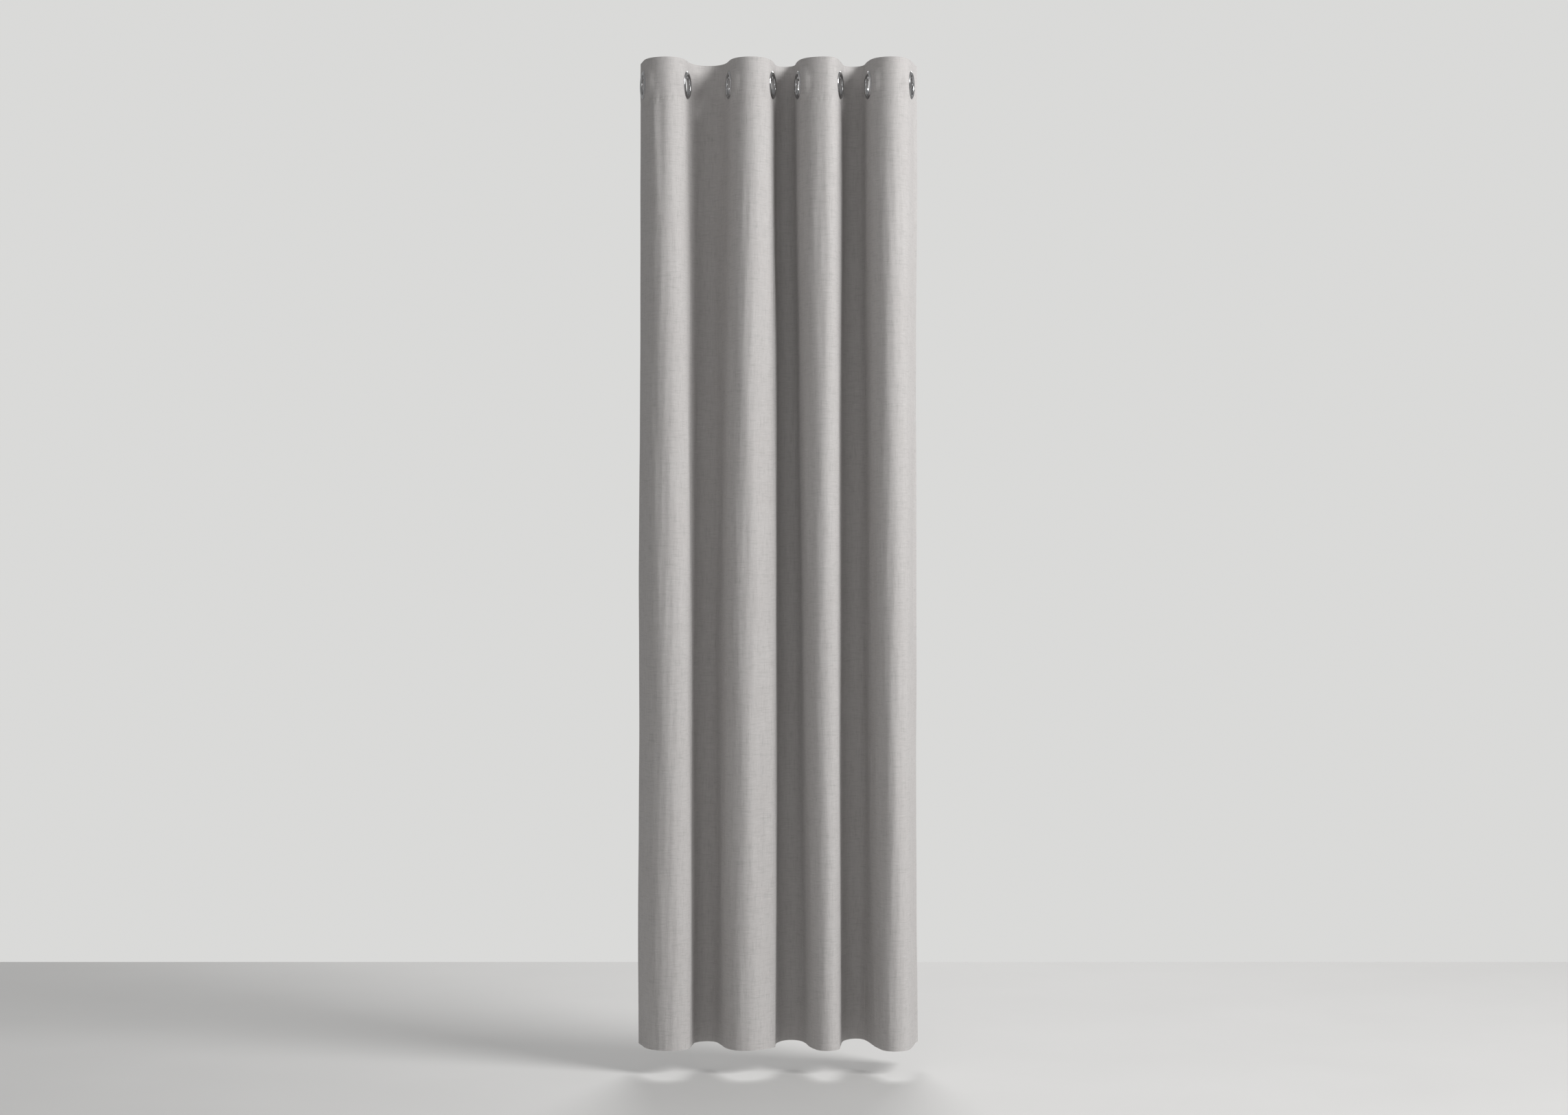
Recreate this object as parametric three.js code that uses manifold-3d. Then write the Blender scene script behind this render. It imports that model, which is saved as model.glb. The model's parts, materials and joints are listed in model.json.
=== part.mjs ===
// An eyelet curtain panel, hanging in pleats from a round pole that is not part of it.
// Units are millimetres, +Z is up, +X runs along the pole and -Y faces the room.
// The origin is on the pole's axis, midway between the first and the last eyelet.
//
// The cloth is one plain panel. Here it is cut into strips that meet at the crest of every fold,
// where the real cloth bends, and each strip carries its own length of stiffener and one eyelet.

import * as THREE from 'three';
import { mergeVertices } from 'three/addons/utils/BufferGeometryUtils.js';
import Module from 'manifold-3d';

// ---------------------------------------------------------------- driving dimensions

const POLE_DIAMETER = 25;          // the pole that the eyelets are made for
const PANEL_DROP = 2400;           // top edge to hem edge
const EYELET_PITCH = 180;          // along the flat cloth
const SIDE_FLAP = 70;              // cloth beyond the first and the last eyelet
const EYELET_TO_TOP = 58.5;        // eyelet centre to the top edge

// Chords along the pole between neighbouring eyelets, as the panel stands half drawn.
const CHORDS = [107.5, 101, 106.5, 62, 103, 68, 105];

const CLOTH = 0.8;                 // one layer of cloth
const HEADER_DROP = 104;           // depth of the folded header
const HEADER_THICK = 2.8;
const STIFFENER_THICK = 0.6;
const HEM_DROP = 80;
const HEM_THICK = 2.4;
const SIDE_HEM = 30;
const CLEARANCE = 0.3;             // between pieces that touch on the real panel

const PLEAT_ANGLE = 78;            // degrees between the cloth at an eyelet and the pole
const STRAIGHT = 36;               // flat cloth on each side of an eyelet's centre
const QUARTER_ARC = EYELET_PITCH / 2 - STRAIGHT;
const ARC_STEPS = 6;
const CORNER_PULL = 0.6;           // how fully a fold fills its corner
const HINGE_GAP = 4.5;             // between strips, so that they can fold on each other
const FIRST_HINGE = 43;            // along the cloth from the first eyelet
const LEFT_CURL = 34;              // degrees that the left edge curls back
const RIGHT_CURL = -8;             // degrees that the right edge opens outwards

const EYELET_BORE = 48;
const EYELET_OUTER = 68;
const CLOTH_HOLE = 54;
const RING_STEPS = 20;

const LABEL = { width: 30, height: 55, thick: 0.4, above_hem: 130, from_edge: 52 };

const eyeletRadius = EYELET_BORE / 2;
const eyeletHeight = POLE_DIAMETER / 2 - eyeletRadius;
const topEdge = eyeletHeight + EYELET_TO_TOP;
const headerEdge = topEdge - HEADER_DROP;
const hemEdge = topEdge - PANEL_DROP;
const eyeletCount = CHORDS.length + 1;
const slope = THREE.MathUtils.degToRad(PLEAT_ANGLE);

// ---------------------------------------------------------------- the fold line in plan

// Even steps along the pole, with the first and the last eyelet as far from the middle.
const eyeletX = [0];
for (const chord of CHORDS) eyeletX.push(eyeletX.at(-1) + chord);
const middle = eyeletX.at(-1) / 2;
eyeletX.forEach((x, i) => { eyeletX[i] = x - middle; });

// Odd eyelets lead the cloth to the front of the pole, even ones to the back.
const side = (i) => (i % 2 === 0 ? -1 : 1);
const turnAt = (i) => side(i) * slope;

// From the end of the straight cloth to a crest, rounding the corner between the two directions.
function quarterArc(halfChord, depth) {
  const start = new THREE.Vector2(STRAIGHT * Math.cos(slope), STRAIGHT * Math.sin(slope));
  const corner = new THREE.Vector2(depth / Math.tan(slope), depth);
  const end = new THREE.Vector2(halfChord, depth);
  const leave = start.clone().lerp(corner, CORNER_PULL);
  const arrive = end.clone().lerp(corner, CORNER_PULL);
  return new THREE.CubicBezierCurve(start, leave, arrive, end);
}

// The depth at which a fold's quarter arc uses up exactly its share of the cloth.
function foldDepth(chord) {
  let low = STRAIGHT * Math.sin(slope);
  let high = low + QUARTER_ARC;
  for (let i = 0; i < 40; i += 1) {
    const depth = (low + high) / 2;
    if (quarterArc(chord / 2, depth).getLength() < QUARTER_ARC) low = depth;
    else high = depth;
  }
  return (low + high) / 2;
}

// One fold from eyelet i to the next, as points with their place along the cloth.
function foldPoints(i) {
  const chord = CHORDS[i];
  const arc = quarterArc(chord / 2, foldDepth(chord));
  const points = [];
  for (let k = 0; k <= ARC_STEPS; k += 1) {
    const p = arc.getPointAt(k / ARC_STEPS);
    points.push({ s: STRAIGHT + (QUARTER_ARC * k) / ARC_STEPS, x: p.x, y: side(i) * p.y });
  }
  const mirrored = points.slice(0, -1).reverse();
  for (const p of mirrored) points.push({ s: EYELET_PITCH - p.s, x: chord - p.x, y: p.y });
  return points.map((p) => ({ s: p.s + i * EYELET_PITCH, x: p.x + eyeletX[i], y: p.y }));
}

// A side edge of the panel, which runs straight past its eyelet and then bends away.
function flapPoints(i, direction, curl) {
  const points = [];
  let heading = turnAt(i);
  let x = eyeletX[i] + direction * STRAIGHT * Math.cos(heading);
  let y = direction * STRAIGHT * Math.sin(heading);
  const step = (SIDE_FLAP - STRAIGHT) / ARC_STEPS;
  const bend = THREE.MathUtils.degToRad(curl) / ARC_STEPS;
  for (let k = 0; k <= ARC_STEPS; k += 1) {
    points.push({ s: i * EYELET_PITCH + direction * (STRAIGHT + k * step), x, y });
    x += direction * step * Math.cos(heading + bend / 2);
    y += direction * step * Math.sin(heading + bend / 2);
    heading += bend;
  }
  return direction < 0 ? points.reverse() : points;
}

const foldLine = [
  ...flapPoints(0, -1, -LEFT_CURL),
  ...CHORDS.flatMap((_, i) => foldPoints(i)),
  ...flapPoints(eyeletCount - 1, 1, RIGHT_CURL),
];
const leftEdge = foldLine[0].s;
const rightEdge = foldLine.at(-1).s;

function pointAlong(s) {
  const k = Math.max(foldLine.findLastIndex((p) => p.s < s) + 1, 1);
  const a = foldLine[k - 1];
  const b = foldLine[k];
  const t = (s - a.s) / (b.s - a.s);
  return { s, x: a.x + t * (b.x - a.x), y: a.y + t * (b.y - a.y) };
}

function stretchOf(from, to) {
  const inside = foldLine.filter((p) => p.s > from + 1 && p.s < to - 1);
  return [pointAlong(from), ...inside, pointAlong(to)];
}

// ---------------------------------------------------------------- solids

// Sweeps an upright section along a stretch of the fold line, and closes both ends.
// The section maps a place along the cloth to a loop of [depth behind the front face, height].
function sweep(from, to, section) {
  const line = stretchOf(from, to);
  const positions = [];
  line.forEach((p, k) => {
    const before = line[Math.max(k - 1, 0)];
    const after = line[Math.min(k + 1, line.length - 1)];
    const along = new THREE.Vector2(after.x - before.x, after.y - before.y).normalize();
    for (const [depth, height] of section(p.s)) {
      positions.push(p.x - along.y * depth, p.y + along.x * depth, height);
    }
  });
  const loop = section(from).map(([depth, height]) => new THREE.Vector2(depth, height));
  const count = loop.length;
  const last = (line.length - 1) * count;
  const index = [];
  for (let k = 0; k < last; k += count) {
    for (let i = 0; i < count; i += 1) {
      const j = (i + 1) % count;
      index.push(k + i, k + count + j, k + count + i, k + i, k + j, k + count + j);
    }
  }
  for (const [a, b, c] of THREE.ShapeUtils.triangulateShape(loop, [])) {
    index.push(a, c, b, last + a, last + b, last + c);
  }
  const geometry = new THREE.BufferGeometry();
  geometry.setAttribute('position', new THREE.Float32BufferAttribute(positions, 3));
  geometry.setIndex(index);
  geometry.computeVertexNormals();
  return geometry;
}

// A flat layer inside or behind the cloth, between two depths and two heights.
function layer(from, to, front, back, low, high) {
  return sweep(from, to, () => [[front, low], [back, low], [back, high], [front, high]]);
}

const wasm = await Module();
wasm.setup();

function solidOf(geometry) {
  const bare = geometry.index ? geometry.toNonIndexed() : geometry;
  bare.deleteAttribute('normal');
  bare.deleteAttribute('uv');
  const merged = mergeVertices(bare, 1e-4);
  const mesh = new wasm.Mesh({
    numProp: 3,
    vertProperties: new Float32Array(merged.attributes.position.array),
    triVerts: new Uint32Array(merged.index.array),
  });
  return new wasm.Manifold(mesh);
}

function geometryOf(solid) {
  const mesh = solid.getMesh();
  const geometry = new THREE.BufferGeometry();
  geometry.setAttribute('position', new THREE.BufferAttribute(mesh.vertProperties, 3));
  geometry.setIndex(new THREE.BufferAttribute(mesh.triVerts, 1));
  geometry.computeVertexNormals();
  return geometry;
}

// Cuts the round hole that an eyelet sits in square through a strip, where the strip has one.
function cutForEyelet(strip, i) {
  if (i === undefined) return geometryOf(strip);
  const length = 30;
  const hole = new THREE.CylinderGeometry(CLOTH_HOLE / 2, CLOTH_HOLE / 2, length, RING_STEPS)
    .rotateZ(turnAt(i))
    .translate(eyeletX[i], 0, eyeletHeight);
  return geometryOf(strip.subtract(solidOf(hole)));
}

// The drop's upright section: single cloth with a turned hem, thicker all the way up a side hem.
function dropSection(s) {
  const inSideHem = Math.min(s - leftEdge, rightEdge - s) < SIDE_HEM;
  const body = inSideHem ? HEM_THICK : CLOTH;
  const hem = inSideHem ? HEM_THICK + CLEARANCE : HEM_THICK;
  const top = headerEdge - CLEARANCE;
  return [
    [0, hemEdge], [hem, hemEdge], [hem, hemEdge + HEM_DROP], [body, hemEdge + HEM_DROP],
    [body, top], [0, top],
  ];
}

const dropStrip = (from, to) => sweep(from, to, dropSection);

// The header is the same cloth folded over the stiffener, down to the row of stitches.
function headerStrip(from, to, holeAt) {
  const inner = stiffenerRun(from, to, CLEARANCE, HINGE_GAP);
  const pocket = layer(inner.from, inner.to, CLOTH, CLOTH + STIFFENER_THICK + 2 * CLEARANCE,
    headerEdge + HEM_THICK, topEdge - CLOTH);
  const folded = solidOf(layer(from, to, 0, HEADER_THICK, headerEdge, topEdge));
  return cutForEyelet(folded.subtract(solidOf(pocket)), holeAt);
}

// The stiffener stops short of a side hem, and runs through wherever two strips meet.
function stiffenerRun(from, to, gap, overrun) {
  return {
    from: from === leftEdge ? from + SIDE_HEM - gap : from - overrun,
    to: to === rightEdge ? to - SIDE_HEM + gap : to + overrun,
  };
}

function stiffenerStrip(from, to, holeAt) {
  const run = stiffenerRun(from, to, 0, 0);
  const front = CLOTH + CLEARANCE;
  const strip = solidOf(layer(run.from, run.to, front, front + STIFFENER_THICK,
    headerEdge + HEM_THICK + CLEARANCE, topEdge - CLOTH - CLEARANCE));
  return cutForEyelet(strip, holeAt);
}

// Ring sections are given as [radius, depth behind the cloth's front face].
const barrelRadius = eyeletRadius + 1.2;
const washerBack = HEADER_THICK + CLEARANCE + 2.5;

const FRONT_RING = [
  [eyeletRadius, 0], [eyeletRadius + 0.8, -2.4], [eyeletRadius + 4, -3.4],
  [EYELET_OUTER / 2 - 3, -2.8], [EYELET_OUTER / 2, -CLEARANCE], [barrelRadius, -CLEARANCE],
  [barrelRadius, washerBack + CLEARANCE], [barrelRadius + 2.4, washerBack + CLEARANCE],
  [barrelRadius + 1.6, washerBack + 1.6], [eyeletRadius + 0.5, washerBack + 1.8],
  [eyeletRadius, washerBack + 0.6],
];
const REAR_RING = [
  [barrelRadius + 0.4, HEADER_THICK + CLEARANCE], [EYELET_OUTER / 2, HEADER_THICK + CLEARANCE],
  [EYELET_OUTER / 2 - 2, washerBack - 0.6], [EYELET_OUTER / 2 - 5, washerBack],
  [barrelRadius + 0.4, washerBack],
];

function ringGeometry(section) {
  const points = section.map(([radius, depth]) => new THREE.Vector2(radius, depth));
  points.push(points[0]);
  return new THREE.LatheGeometry(points, RING_STEPS);
}

// ---------------------------------------------------------------- the panel

const linen = new THREE.MeshStandardMaterial({ color: '#c9c5c1', roughness: 0.95, metalness: 0 });
const buckram = new THREE.MeshStandardMaterial({ color: '#eceae4', roughness: 0.9, metalness: 0 });
const polished = new THREE.MeshStandardMaterial({ color: '#c8c9cb', roughness: 0.18, metalness: 1 });
const satin = new THREE.MeshStandardMaterial({ color: '#f2f1ee', roughness: 0.5, metalness: 0 });

const curtain = new THREE.Group();

function addPiece(name, geometry, material, parent = curtain) {
  const mesh = new THREE.Mesh(geometry, material);
  mesh.name = name;
  parent.add(mesh);
  return mesh;
}

// Strips end half a gap short of each crest and trough, and of the hinge by the first eyelet.
const crests = CHORDS.map((_, i) => (i + 0.5) * EYELET_PITCH);
const cuts = [FIRST_HINGE, ...crests];
const starts = [leftEdge, ...cuts.map((s) => s + HINGE_GAP / 2)];
const ends = [...cuts.map((s) => s - HINGE_GAP / 2), rightEdge];
const stripNames = ['edge', ...cuts.map((_, k) => `${k + 1}`)];

// The drop of a strip with an eyelet is two simple bent sheets that meet under the eyelet.
function addDrop(name, from, to, holeAt) {
  if (holeAt === undefined) {
    addPiece(`cloth_${name}`, dropStrip(from, to), linen);
    return;
  }
  const under = holeAt * EYELET_PITCH;
  addPiece(`cloth_${name}_left`, dropStrip(from, under - CLEARANCE / 2), linen);
  addPiece(`cloth_${name}_right`, dropStrip(under + CLEARANCE / 2, to), linen);
}

stripNames.forEach((name, k) => {
  // The first eyelet is in the edge strip, and the short strip after it has none.
  const hole = [0, undefined][k] ?? (k >= 2 ? k - 1 : undefined);
  addDrop(name, starts[k], ends[k], hole);
  addPiece(`header_${name}`, headerStrip(starts[k], ends[k], hole), linen);
  addPiece(`stiffener_${name}`, stiffenerStrip(starts[k], ends[k], hole), buckram);
});

eyeletX.forEach((x, i) => {
  const eyelet = new THREE.Group();
  eyelet.position.set(x, 0, eyeletHeight);
  eyelet.rotation.z = turnAt(i);
  addPiece(`eyelet_${i + 1}_front`, ringGeometry(FRONT_RING), polished, eyelet);
  addPiece(`eyelet_${i + 1}_rear`, ringGeometry(REAR_RING), polished, eyelet);
  curtain.add(eyelet);
});

// A blank care label is caught in the back of the left side hem.
const labelFrom = leftEdge + LABEL.from_edge - LABEL.width;
const labelFront = HEM_THICK + CLEARANCE;
addPiece('care_label', layer(labelFrom, labelFrom + LABEL.width, labelFront,
  labelFront + LABEL.thick, hemEdge + LABEL.above_hem, hemEdge + LABEL.above_hem + LABEL.height),
satin);

export default curtain;
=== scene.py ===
"""An eyelet curtain panel in slubbed linen-look cloth, hanging in pleats from its pole line.

Lengths are metres. The frame gives where the eyelets are, and the cloth is one surface that runs
through them. A place on the cloth is given by how far along the panel it is from the first
eyelet, and by its height.
"""

import json
import logging
import math
from dataclasses import dataclass, field
from enum import Enum

import bpy
import numpy as np
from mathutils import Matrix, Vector


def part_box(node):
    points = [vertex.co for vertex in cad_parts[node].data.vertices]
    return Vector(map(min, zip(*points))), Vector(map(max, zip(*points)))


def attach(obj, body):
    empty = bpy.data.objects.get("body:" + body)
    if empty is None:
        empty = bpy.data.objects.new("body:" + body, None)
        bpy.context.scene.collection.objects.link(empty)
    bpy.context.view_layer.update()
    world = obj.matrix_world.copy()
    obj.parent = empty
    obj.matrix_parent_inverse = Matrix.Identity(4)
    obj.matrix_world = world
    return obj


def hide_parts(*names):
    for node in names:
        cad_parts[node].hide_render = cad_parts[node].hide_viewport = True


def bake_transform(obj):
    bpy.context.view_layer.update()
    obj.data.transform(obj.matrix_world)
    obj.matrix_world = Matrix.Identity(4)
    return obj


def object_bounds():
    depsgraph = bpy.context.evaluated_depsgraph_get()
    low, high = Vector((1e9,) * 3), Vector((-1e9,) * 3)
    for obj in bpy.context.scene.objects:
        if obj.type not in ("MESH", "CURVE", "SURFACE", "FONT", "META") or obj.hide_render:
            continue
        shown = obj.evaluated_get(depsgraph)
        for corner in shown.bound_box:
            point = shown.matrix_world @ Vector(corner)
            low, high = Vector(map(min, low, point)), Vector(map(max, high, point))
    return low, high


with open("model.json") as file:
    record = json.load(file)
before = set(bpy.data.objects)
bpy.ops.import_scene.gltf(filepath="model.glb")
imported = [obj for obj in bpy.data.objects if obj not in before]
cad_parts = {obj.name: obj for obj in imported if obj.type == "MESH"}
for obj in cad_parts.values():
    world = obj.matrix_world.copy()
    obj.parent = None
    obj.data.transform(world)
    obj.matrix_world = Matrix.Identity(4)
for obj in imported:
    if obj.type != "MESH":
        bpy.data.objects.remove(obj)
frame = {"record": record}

LOG = logging.getLogger("curtain")
CAD_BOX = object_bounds()
MM = 0.001
HEM_STEP = 0.9 * MM  # how wide the step in thickness is at the edge of a hem
TINY = 1e-6


# ---------------------------------------------------------------- names and small helpers


class Face(Enum):
    """The two faces of the cloth."""

    ROOM = 1
    WINDOW = -1


def smoothstep(low: float, high: float, value: np.ndarray) -> np.ndarray:
    """Rises smoothly from 0 at low to 1 at high.

    Args:
        low: Where the rise starts. It may be above high, and the result then falls.
        high: Where the rise ends.
        value: The values to look up.

    Returns:
        The share risen, from 0 to 1.
    """
    t = np.clip((value - low) / (high - low), 0.0, 1.0)
    return t * t * (3.0 - 2.0 * t)


def wave_noise(
    along: np.ndarray, up: np.ndarray, wavelengths: tuple[float, float], seed: int, waves: int = 9
) -> np.ndarray:
    """Smooth noise made of slanted sine waves, the same on every run.

    Args:
        along: Places along the cloth.
        up: Heights, of the same shape.
        wavelengths: The typical wavelength along and up.
        seed: Picks the waves.
        waves: How many waves are added.

    Returns:
        Noise of about unit size.
    """
    random = np.random.default_rng(seed)
    total = np.zeros(np.broadcast(along, up).shape)
    for _ in range(waves):
        stretch_along, stretch_up = random.uniform(0.6, 1.7, 2)
        phase = random.uniform(0.0, 2.0 * math.pi)
        lean = random.choice([-1.0, 1.0])
        turns = along / (wavelengths[0] * stretch_along) + lean * up / (wavelengths[1] * stretch_up)
        total += np.sin(2.0 * math.pi * turns + phase)
    return total / math.sqrt(waves / 2.0)


# ---------------------------------------------------------------- the shape of the cloth


@dataclass(frozen=True)
class Crossing:
    """How the cloth crosses the pole line at one eyelet, and how that changes further down.

    Attributes:
        mid_shift: Shift along the pole half way down.
        hem_shift: Shift along the pole at the hem.
        cloth_shift: Shift of the crossing in the cloth itself, at the hem.
        hem_angle: Degrees between the cloth and the pole at the hem.
    """

    mid_shift: float = 0.0
    hem_shift: float = 0.0
    cloth_shift: float = 0.0
    hem_angle: float = 78.0


@dataclass(frozen=True)
class Fold:
    """How one fold departs from an even wave.

    Attributes:
        skew: Squareness moved from the fold's right side to its left, at the hem.
        top_skew: The same at the header.
        facet: How much the cloth right of the crest is drawn into one slanting facet.
    """

    skew: float = 0.0
    top_skew: float = 0.0
    facet: float = 0.0


CROSSINGS = (
    Crossing(hem_angle=72.0),
    Crossing(7.5 * MM, 10 * MM, 8 * MM, 86.0),
    Crossing(-11.5 * MM, -14 * MM, 4 * MM, 74.0),
    Crossing(9 * MM, 7 * MM, 14 * MM, 89.0),
    Crossing(14 * MM, 28 * MM, 16 * MM, 76.0),
    Crossing(-1 * MM, 1 * MM, -4 * MM, 87.0),
    Crossing(8 * MM, 15 * MM, -2 * MM, 72.0),
    Crossing(0.0, 4 * MM, 0.0, 80.0),
)
FOLDS = (
    Fold(skew=-0.05, top_skew=-0.15),
    Fold(skew=-0.2),
    Fold(skew=0.35, facet=0.24),
    Fold(skew=-0.2),
    Fold(skew=0.0, top_skew=-0.5),
    Fold(skew=-0.3),
    Fold(skew=0.1, top_skew=-0.1),
)

# Places along the cloth where the hem hangs short, and by how much.
HEM_LIFTS = ((640 * MM, 3 * MM), (985 * MM, 6 * MM))


@dataclass(frozen=True)
class Crease:
    """A soft upright crease, which is a ridge where its depth is positive.

    Attributes:
        along: Its place along the cloth.
        height: The height where it is deepest.
        depth: How far it stands out there.
        width: The distance from its middle at which 37 % of the depth is left.
        rise: The same above it.
        fall: The same below it.
        lean: How far it moves along the cloth for each metre up.
    """

    along: float
    height: float
    depth: float
    width: float = 5 * MM
    rise: float = 40 * MM
    fall: float = 110 * MM
    lean: float = 0.0


CREASES = (
    Crease(62 * MM, -95 * MM, 1.7 * MM, width=7 * MM, rise=50 * MM, fall=120 * MM, lean=-0.03),
    Crease(80 * MM, -85 * MM, -1.6 * MM, width=9 * MM, rise=70 * MM, fall=130 * MM, lean=-0.02),
    Crease(252 * MM, -75 * MM, 0.7 * MM),
    Crease(285 * MM, -70 * MM, 0.8 * MM, width=4 * MM),
    Crease(318 * MM, -80 * MM, 0.6 * MM, width=4 * MM, fall=80 * MM),
    Crease(612 * MM, -75 * MM, 1.0 * MM, width=5 * MM, fall=500 * MM),
    Crease(655 * MM, -70 * MM, 0.6 * MM, width=4 * MM),
    Crease(968 * MM, -80 * MM, 0.8 * MM, width=5 * MM),
    Crease(1004 * MM, -70 * MM, 0.9 * MM, width=4 * MM, fall=300 * MM),
    Crease(1032 * MM, -75 * MM, 0.6 * MM, width=4 * MM),
)


@dataclass
class Panel:
    """The panel's own sizes, read from the frame where the frame holds them.

    Attributes:
        cloth_thick: Thickness of the single cloth.
        header_thick: Thickness of the header, with its stiffener.
        hem_thick: Thickness of the hems.
        header_drop: Height of the header.
        hem_drop: Height of the bottom hem.
        side_hem: Width of the side hems.
        flap: The cloth beyond the end eyelets.
        pleat_angle: The cloth's heading at the eyelets, in degrees from the pole line.
        left_curl: How far the left side edge bends, in degrees, before the gain.
        right_curl: The same for the right side edge.
        eyelets: The eyelets' centres, from the left.
        pitch: The cloth from one eyelet to the next.
    """

    cloth_thick: float = 0.9 * MM
    header_thick: float = 2.8 * MM
    hem_thick: float = 2.6 * MM
    header_drop: float = 104 * MM
    hem_drop: float = 80 * MM
    side_hem: float = 30 * MM
    flap: float = 70 * MM
    pleat_angle: float = 78.0
    left_curl: float = -34.0
    right_curl: float = -8.0
    eyelets: list[Vector] = field(default_factory=list)
    pitch: float = 180 * MM

    def __post_init__(self) -> None:
        """Reads the eyelets' places and the panel's height from the frame."""
        for opening in frame["record"]["physics"]["openings"]:
            low, high = (Vector(corner) for corner in opening["box_m"])
            self.eyelets.append((low + high) / 2)
        self.top = CAD_BOX[1].z
        self.hem = CAD_BOX[0].z
        self.header_edge = self.top - self.header_drop
        self.start = -self.flap
        self.end = (len(self.eyelets) - 1) * self.pitch + self.flap

    @property
    def eyelet_height(self) -> float:
        """The height of the eyelets' centres.

        Returns:
            The height in the frame.
        """
        return self.eyelets[0].z

    def place_of(self, index: int) -> float:
        """The place along the cloth of an eyelet.

        Args:
            index: The eyelet's index from the left.

        Returns:
            The place.
        """
        return index * self.pitch

    def turn_of(self, index: int) -> float:
        """The cloth's heading at an eyelet in plan.

        Args:
            index: The eyelet's index from the left.

        Returns:
            The heading, in radians from +X.
        """
        angle = math.radians(self.pleat_angle)
        return -angle if index % 2 == 0 else angle

    def thickness(self, along: np.ndarray, height: np.ndarray) -> np.ndarray:
        """The cloth's thickness with its folded header, bottom hem and side hems.

        Args:
            along: Places along the cloth.
            height: Heights, of the same shape.

        Returns:
            The thickness at each place.
        """
        header = smoothstep(self.header_edge - HEM_STEP, self.header_edge, height)
        hem_top = self.hem + self.hem_drop
        hem = smoothstep(hem_top + HEM_STEP, hem_top, height)
        from_side = np.minimum(along - self.start, self.end - along)
        side = smoothstep(self.side_hem + HEM_STEP, self.side_hem, from_side)
        thick = self.cloth_thick + (self.hem_thick - self.cloth_thick) * np.maximum(hem, side)
        return np.maximum(thick, self.cloth_thick + (self.header_thick - self.cloth_thick) * header)


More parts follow.
